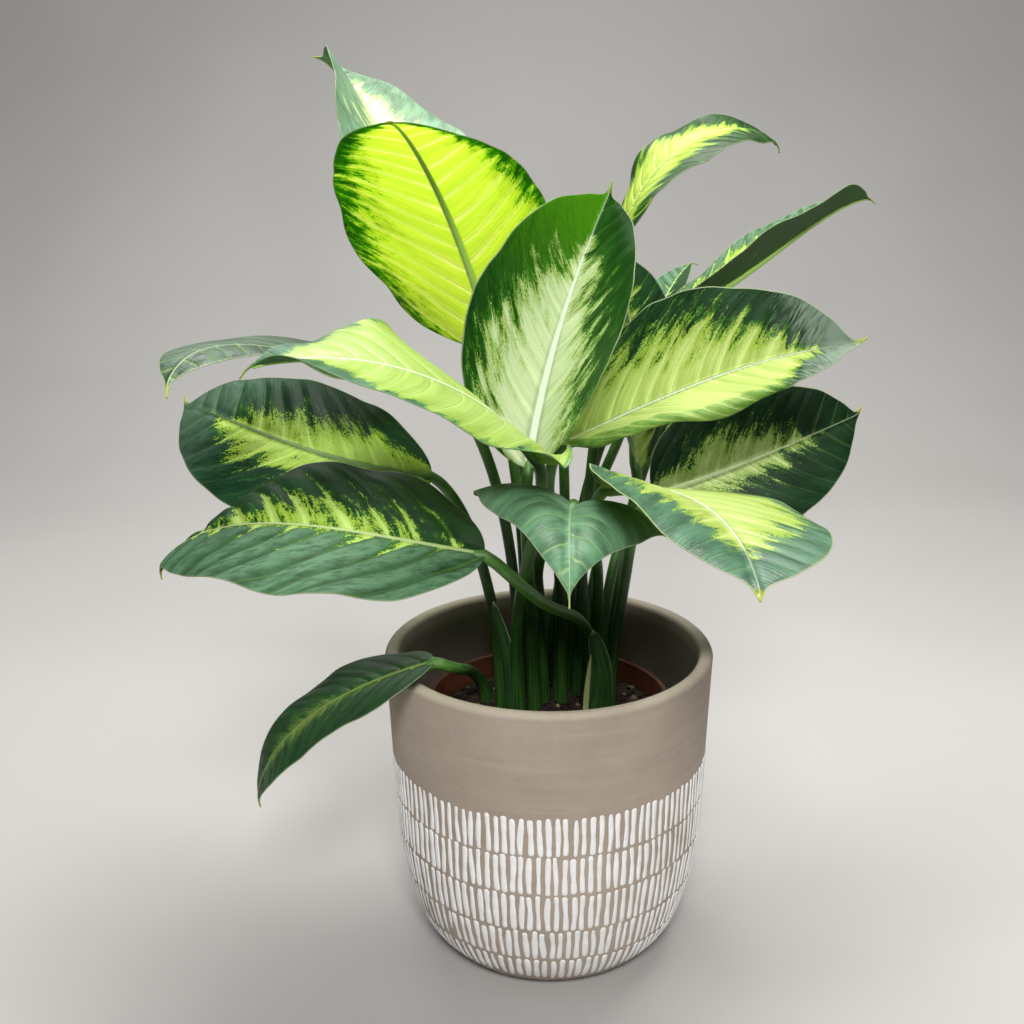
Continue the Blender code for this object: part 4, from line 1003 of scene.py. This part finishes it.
def make_dashes():
    """Rows of short raised strokes, each a little different, as if laid on by hand."""
    draw = random.Random(11)
    rise_to = [0.0, 0.008, 0.025, 0.06, 0.13, 0.25, 0.38]
    steps = rise_to + [0.5] + [1 - step for step in rise_to[::-1]]
    rings, sides = len(steps), 8
    shells = []
    for top, bottom in DASH_ROWS:
        count = round(2 * math.pi * pot_radius((top + bottom) / 2) / DASH_PITCH)
        start = draw.random()
        for number in range(count):
            turn = 2 * math.pi * (number + start + draw.uniform(-0.10, 0.10)) / count
            high = top + draw.uniform(-0.9, 0.5)
            low = bottom + draw.uniform(-0.4, 0.5)
            lean = draw.uniform(-0.5, 0.5)
            bend = draw.uniform(-0.35, 0.35)
            phase = draw.uniform(0, 2 * math.pi)
            half = DASH_WIDTH / 2 * draw.uniform(0.82, 1.18)
            height = DASH_HEIGHT * draw.uniform(0.8, 1.1)
            points = []
            for share in steps:
                z = high + (low - high) * share
                end = min(share, 1 - share) * (high - low) / half
                wide = half * math.sqrt(max(0.02, 1 - (1 - min(end, 1)) ** 2))
                wide *= 1 + 0.12 * math.sin(7 * share + phase) + 0.05 * math.sin(17 * share + 2 * phase)
                slide = lean * (share - 0.5) + bend * math.sin(math.pi * share * 1.5 + phase)
                radius = pot_radius(z)
                for i in range(sides):
                    angle = math.pi * i / (sides - 1)
                    across = slide + wide * math.cos(angle)
                    rise = height * math.sin(angle) ** 0.7 * (wide / half) ** 0.6 - 0.25
                    theta = turn + across / radius
                    points.append(((radius + rise) * math.cos(theta), (radius + rise) * math.sin(theta), z))
            faces = ring_faces(rings, sides)
            faces.append(tuple(range(sides))[::-1])
            faces.append(tuple(range((rings - 1) * sides, rings * sides)))
            shells.append((np.array(points), faces, 0, {}))
    piece = join_shells("pot_dashes", shells)
    piece.data.materials.append(slip_skin())


def plastic_skin():
    tree = Tree("terracotta plastic")
    place = tree.add("ShaderNodeTexCoord", out=3)
    cloud = tree.noise(place, 40.0, 3.0)
    grain = tree.noise(place, 1500.0, 2.0)
    # Painted shade: the plastic is painted much darker than its own terracotta, as it lies in the shade of the leaves.
    colour = tree.mix(tree.scaled(cloud, 0.3, 0.7), (0.055, 0.016, 0.007), (0.085, 0.026, 0.011))
    normal = tree.bump(grain, 0.2, 0.0002)
    return tree.finish(colour, tree.scaled(cloud, 0.3, 0.7, 0.38, 0.5), normal)


def soil_skin():
    tree = Tree("potting soil")
    place = tree.add("ShaderNodeTexCoord", out=3)
    clumps = tree.noise(place, 160.0, 5.0, 0.7)
    bits = tree.add("ShaderNodeTexVoronoi", Vector=place, Scale=420.0)
    colour = tree.mix(tree.scaled(clumps, 0.35, 0.7), (0.006, 0.004, 0.003), (0.030, 0.019, 0.012))
    spotted = tree.mix(tree.scaled(bits, 0.08, 0.2, 0.5, 0.0), colour, (0.07, 0.045, 0.025))
    normal = tree.bump(clumps, 0.9, 0.0015)
    return tree.finish(spotted, 0.9, normal, Specular_IOR_Level=0.2)


def make_soil():
    rings, sides = 46, 120
    points = [(0.0, 0.0, SOIL_TOP + 1.5)]
    for ring in range(1, rings + 1):
        radius = SOIL_RADIUS * ring / rings
        for i in range(sides):
            angle = 2 * math.pi * (i + 0.5 * (ring % 2)) / sides
            x, y = radius * math.cos(angle), radius * math.sin(angle)
            crown = 1.5 * (1 - (radius / SOIL_RADIUS) ** 2)
            rough = 1.3 * noise.noise(Vector((x * 0.09, y * 0.09, 3.0)))
            rough += 0.9 * noise.noise(Vector((x * 0.35, y * 0.35, 7.0)))
            rough += 0.5 * noise.noise(Vector((x * 0.9, y * 0.9, 9.0)))
            points.append((x, y, SOIL_TOP - 0.4 + crown + rough))
    low = len(points)
    for i in range(sides):
        x, y, _ = points[low - sides + i]
        points.append((x * 0.985, y * 0.985, SOIL_TOP - 12.0))
    faces = [(0, 1 + i, 1 + (i + 1) % sides) for i in range(sides)]
    for ring in range(rings - 1):
        here = 1 + ring * sides
        for i in range(sides):
            j = (i + 1) % sides
            faces.append((here + i, here + sides + i, here + sides + j, here + j))
    last = 1 + (rings - 1) * sides
    for i in range(sides):
        j = (i + 1) % sides
        faces.append((last + i, low + i, low + j, last + j))
    faces.append(tuple(range(low + sides - 1, low - 1, -1)))
    piece = join_shells("soil_bed", [(np.array(points), faces, 0, {})])
    piece.data.materials.append(soil_skin())
    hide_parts("soil")
    crumbs("soil_crumbs", 620, (0.5, 1.7), soil_skin(), 5)
    pale = Tree("bark and grit")
    place = pale.add("ShaderNodeTexCoord", out=3)
    tint = pale.noise(place, 90.0, 3.0)
    colour = pale.mix(pale.scaled(tint, 0.35, 0.65), (0.05, 0.03, 0.016), (0.20, 0.155, 0.08))
    pale.finish(colour, 0.8, pale.bump(tint, 0.5, 0.0005))
    crumbs("soil_bark", 60, (0.8, 2.0), pale.material, 8)


def crumbs(name, count, sizes, skin, seed):
    """Small lumps strewn over the soil."""
    draw = random.Random(seed)
    ball = bmesh.new()
    bmesh.ops.create_icosphere(ball, subdivisions=1, radius=1.0)
    ball.verts.index_update()
    corners = np.array([v.co[:] for v in ball.verts])
    faces = [[v.index for v in face.verts] for face in ball.faces]
    ball.free()
    shells = []
    for _ in range(count):
        radius = SOIL_RADIUS * 0.97 * math.sqrt(draw.random())
        angle = draw.uniform(0, 2 * math.pi)
        size = draw.uniform(*sizes)
        stretch = np.array([draw.uniform(0.6, 1.5), draw.uniform(0.6, 1.2), draw.uniform(0.35, 0.8)])
        jitter = np.array([[draw.uniform(0.75, 1.25)] for _ in corners])
        turn = Matrix.Rotation(draw.uniform(0, 6.28), 3, "Z") @ Matrix.Rotation(draw.uniform(-0.6, 0.6), 3, "X")
        shape = (corners * jitter * stretch * size) @ np.array(turn).T
        crown = 1.5 * (1 - (radius / SOIL_RADIUS) ** 2)
        centre = np.array([radius * math.cos(angle), radius * math.sin(angle), SOIL_TOP + crown])
        shells.append((shape + centre, faces, 0, {}))
    piece = join_shells(name, shells)
    for face in piece.data.polygons:
        face.use_smooth = False
    piece.data.materials.append(skin)


# Scene

def make_camera():
    """The photograph's viewpoint, found from the pot's rim and the rows of dashes."""
    focal, distance, height = 1170.0, 0.534, 0.378
    pitch, yaw, roll = math.radians(16.27), math.radians(-1.84), math.radians(-0.63)
    ahead = Vector((math.sin(yaw) * math.cos(pitch), math.cos(yaw) * math.cos(pitch), -math.sin(pitch)))
    right = Vector((math.cos(yaw), -math.sin(yaw), 0))
    up = right.cross(ahead)
    right, up = math.cos(roll) * right + math.sin(roll) * up, math.cos(roll) * up - math.sin(roll) * right
    camera = bpy.data.cameras.new("camera")
    camera.sensor_width = 36.0
    camera.lens = focal / 1024 * 36.0
    camera.clip_start = 0.01
    eye = bpy.data.objects.new("camera", camera)
    bpy.context.scene.collection.objects.link(eye)
    rows = [(right[i], up[i], -ahead[i], (0.0, -distance, height)[i]) for i in range(3)]
    eye.matrix_world = Matrix((*rows, (0, 0, 0, 1)))
    bpy.context.scene.camera = eye


def area_light(name, place, aim, size, power, colour=(1, 1, 1)):
    light = bpy.data.lights.new(name, "AREA")
    light.shape = "RECTANGLE"
    light.size, light.size_y = size
    light.energy = power
    light.color = colour
    lamp = bpy.data.objects.new(name, light)
    bpy.context.scene.collection.objects.link(lamp)
    lamp.location = place
    lamp.rotation_euler = (Vector(aim) - Vector(place)).to_track_quat("-Z", "Y").to_euler()


def make_stage():
    """A pale floor that turns up into a wall behind the plant, and soft lamps."""
    reach, wall, bend, top = 2.6, 1.5, 0.7, 2.4
    profile = [(-2.6, 0.0), (wall - bend, 0.0)]
    for step in range(1, 13):
        angle = math.pi / 2 * step / 12
        profile.append((wall - bend + bend * math.sin(angle), bend * (1 - math.cos(angle))))
    profile.append((wall, top))
    points = [(x, y, z - 0.0003) for y, z in profile for x in (-reach, reach)]
    faces = [(2 * i, 2 * i + 1, 2 * i + 3, 2 * i + 2) for i in range(len(profile) - 1)]
    mesh = bpy.data.meshes.new("floor")
    mesh.from_pydata(points, [], faces)
    mesh.polygons.foreach_set("use_smooth", [True] * len(faces))
    floor = bpy.data.objects.new("floor", mesh)
    bpy.context.scene.collection.objects.link(floor)
    tree = Tree("pale floor")
    place = tree.add("ShaderNodeTexCoord", out=3)
    cloud = tree.noise(place, 3.0, 2.0)
    colour = tree.mix(tree.scaled(cloud, 0.3, 0.7), (0.37, 0.362, 0.35), (0.395, 0.387, 0.375))
    mesh.materials.append(tree.finish(colour, 0.85))
    world = bpy.data.worlds.new("studio")
    bpy.context.scene.world = world
    world.use_nodes = True
    world.node_tree.nodes["Background"].inputs[0].default_value = (0.93, 0.97, 1.0, 1.0)
    world.node_tree.nodes["Background"].inputs[1].default_value = 0.08
    area_light("top", (0.1, 0.25, 1.25), (0.0, 0.0, 0.25), (0.8, 0.6), 21.0, (1.0, 0.98, 0.94))
    area_light("key", (0.05, -1.2, 1.15), (0.0, 0.0, 0.2), (0.45, 0.35), 24.0, (1.0, 0.99, 0.97))
    area_light("back", (-0.5, 1.15, 1.15), (0.0, 0.0, 0.3), (0.7, 0.4), 4.5, (0.98, 0.99, 1.0))
    area_light("wall wash", (0.0, 0.5, 1.9), (0.0, 1.5, 0.5), (2.0, 0.3), 9.0)


make_leaves()
make_sheaths()
make_cover_pot()
make_dashes()
make_soil()
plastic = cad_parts["nursery_pot"]
plastic.data.materials.clear()
plastic.data.materials.append(plastic_skin())
make_stage()
make_camera()
bpy.context.scene.view_settings.view_transform = "Standard"
bpy.context.view_layer.update()
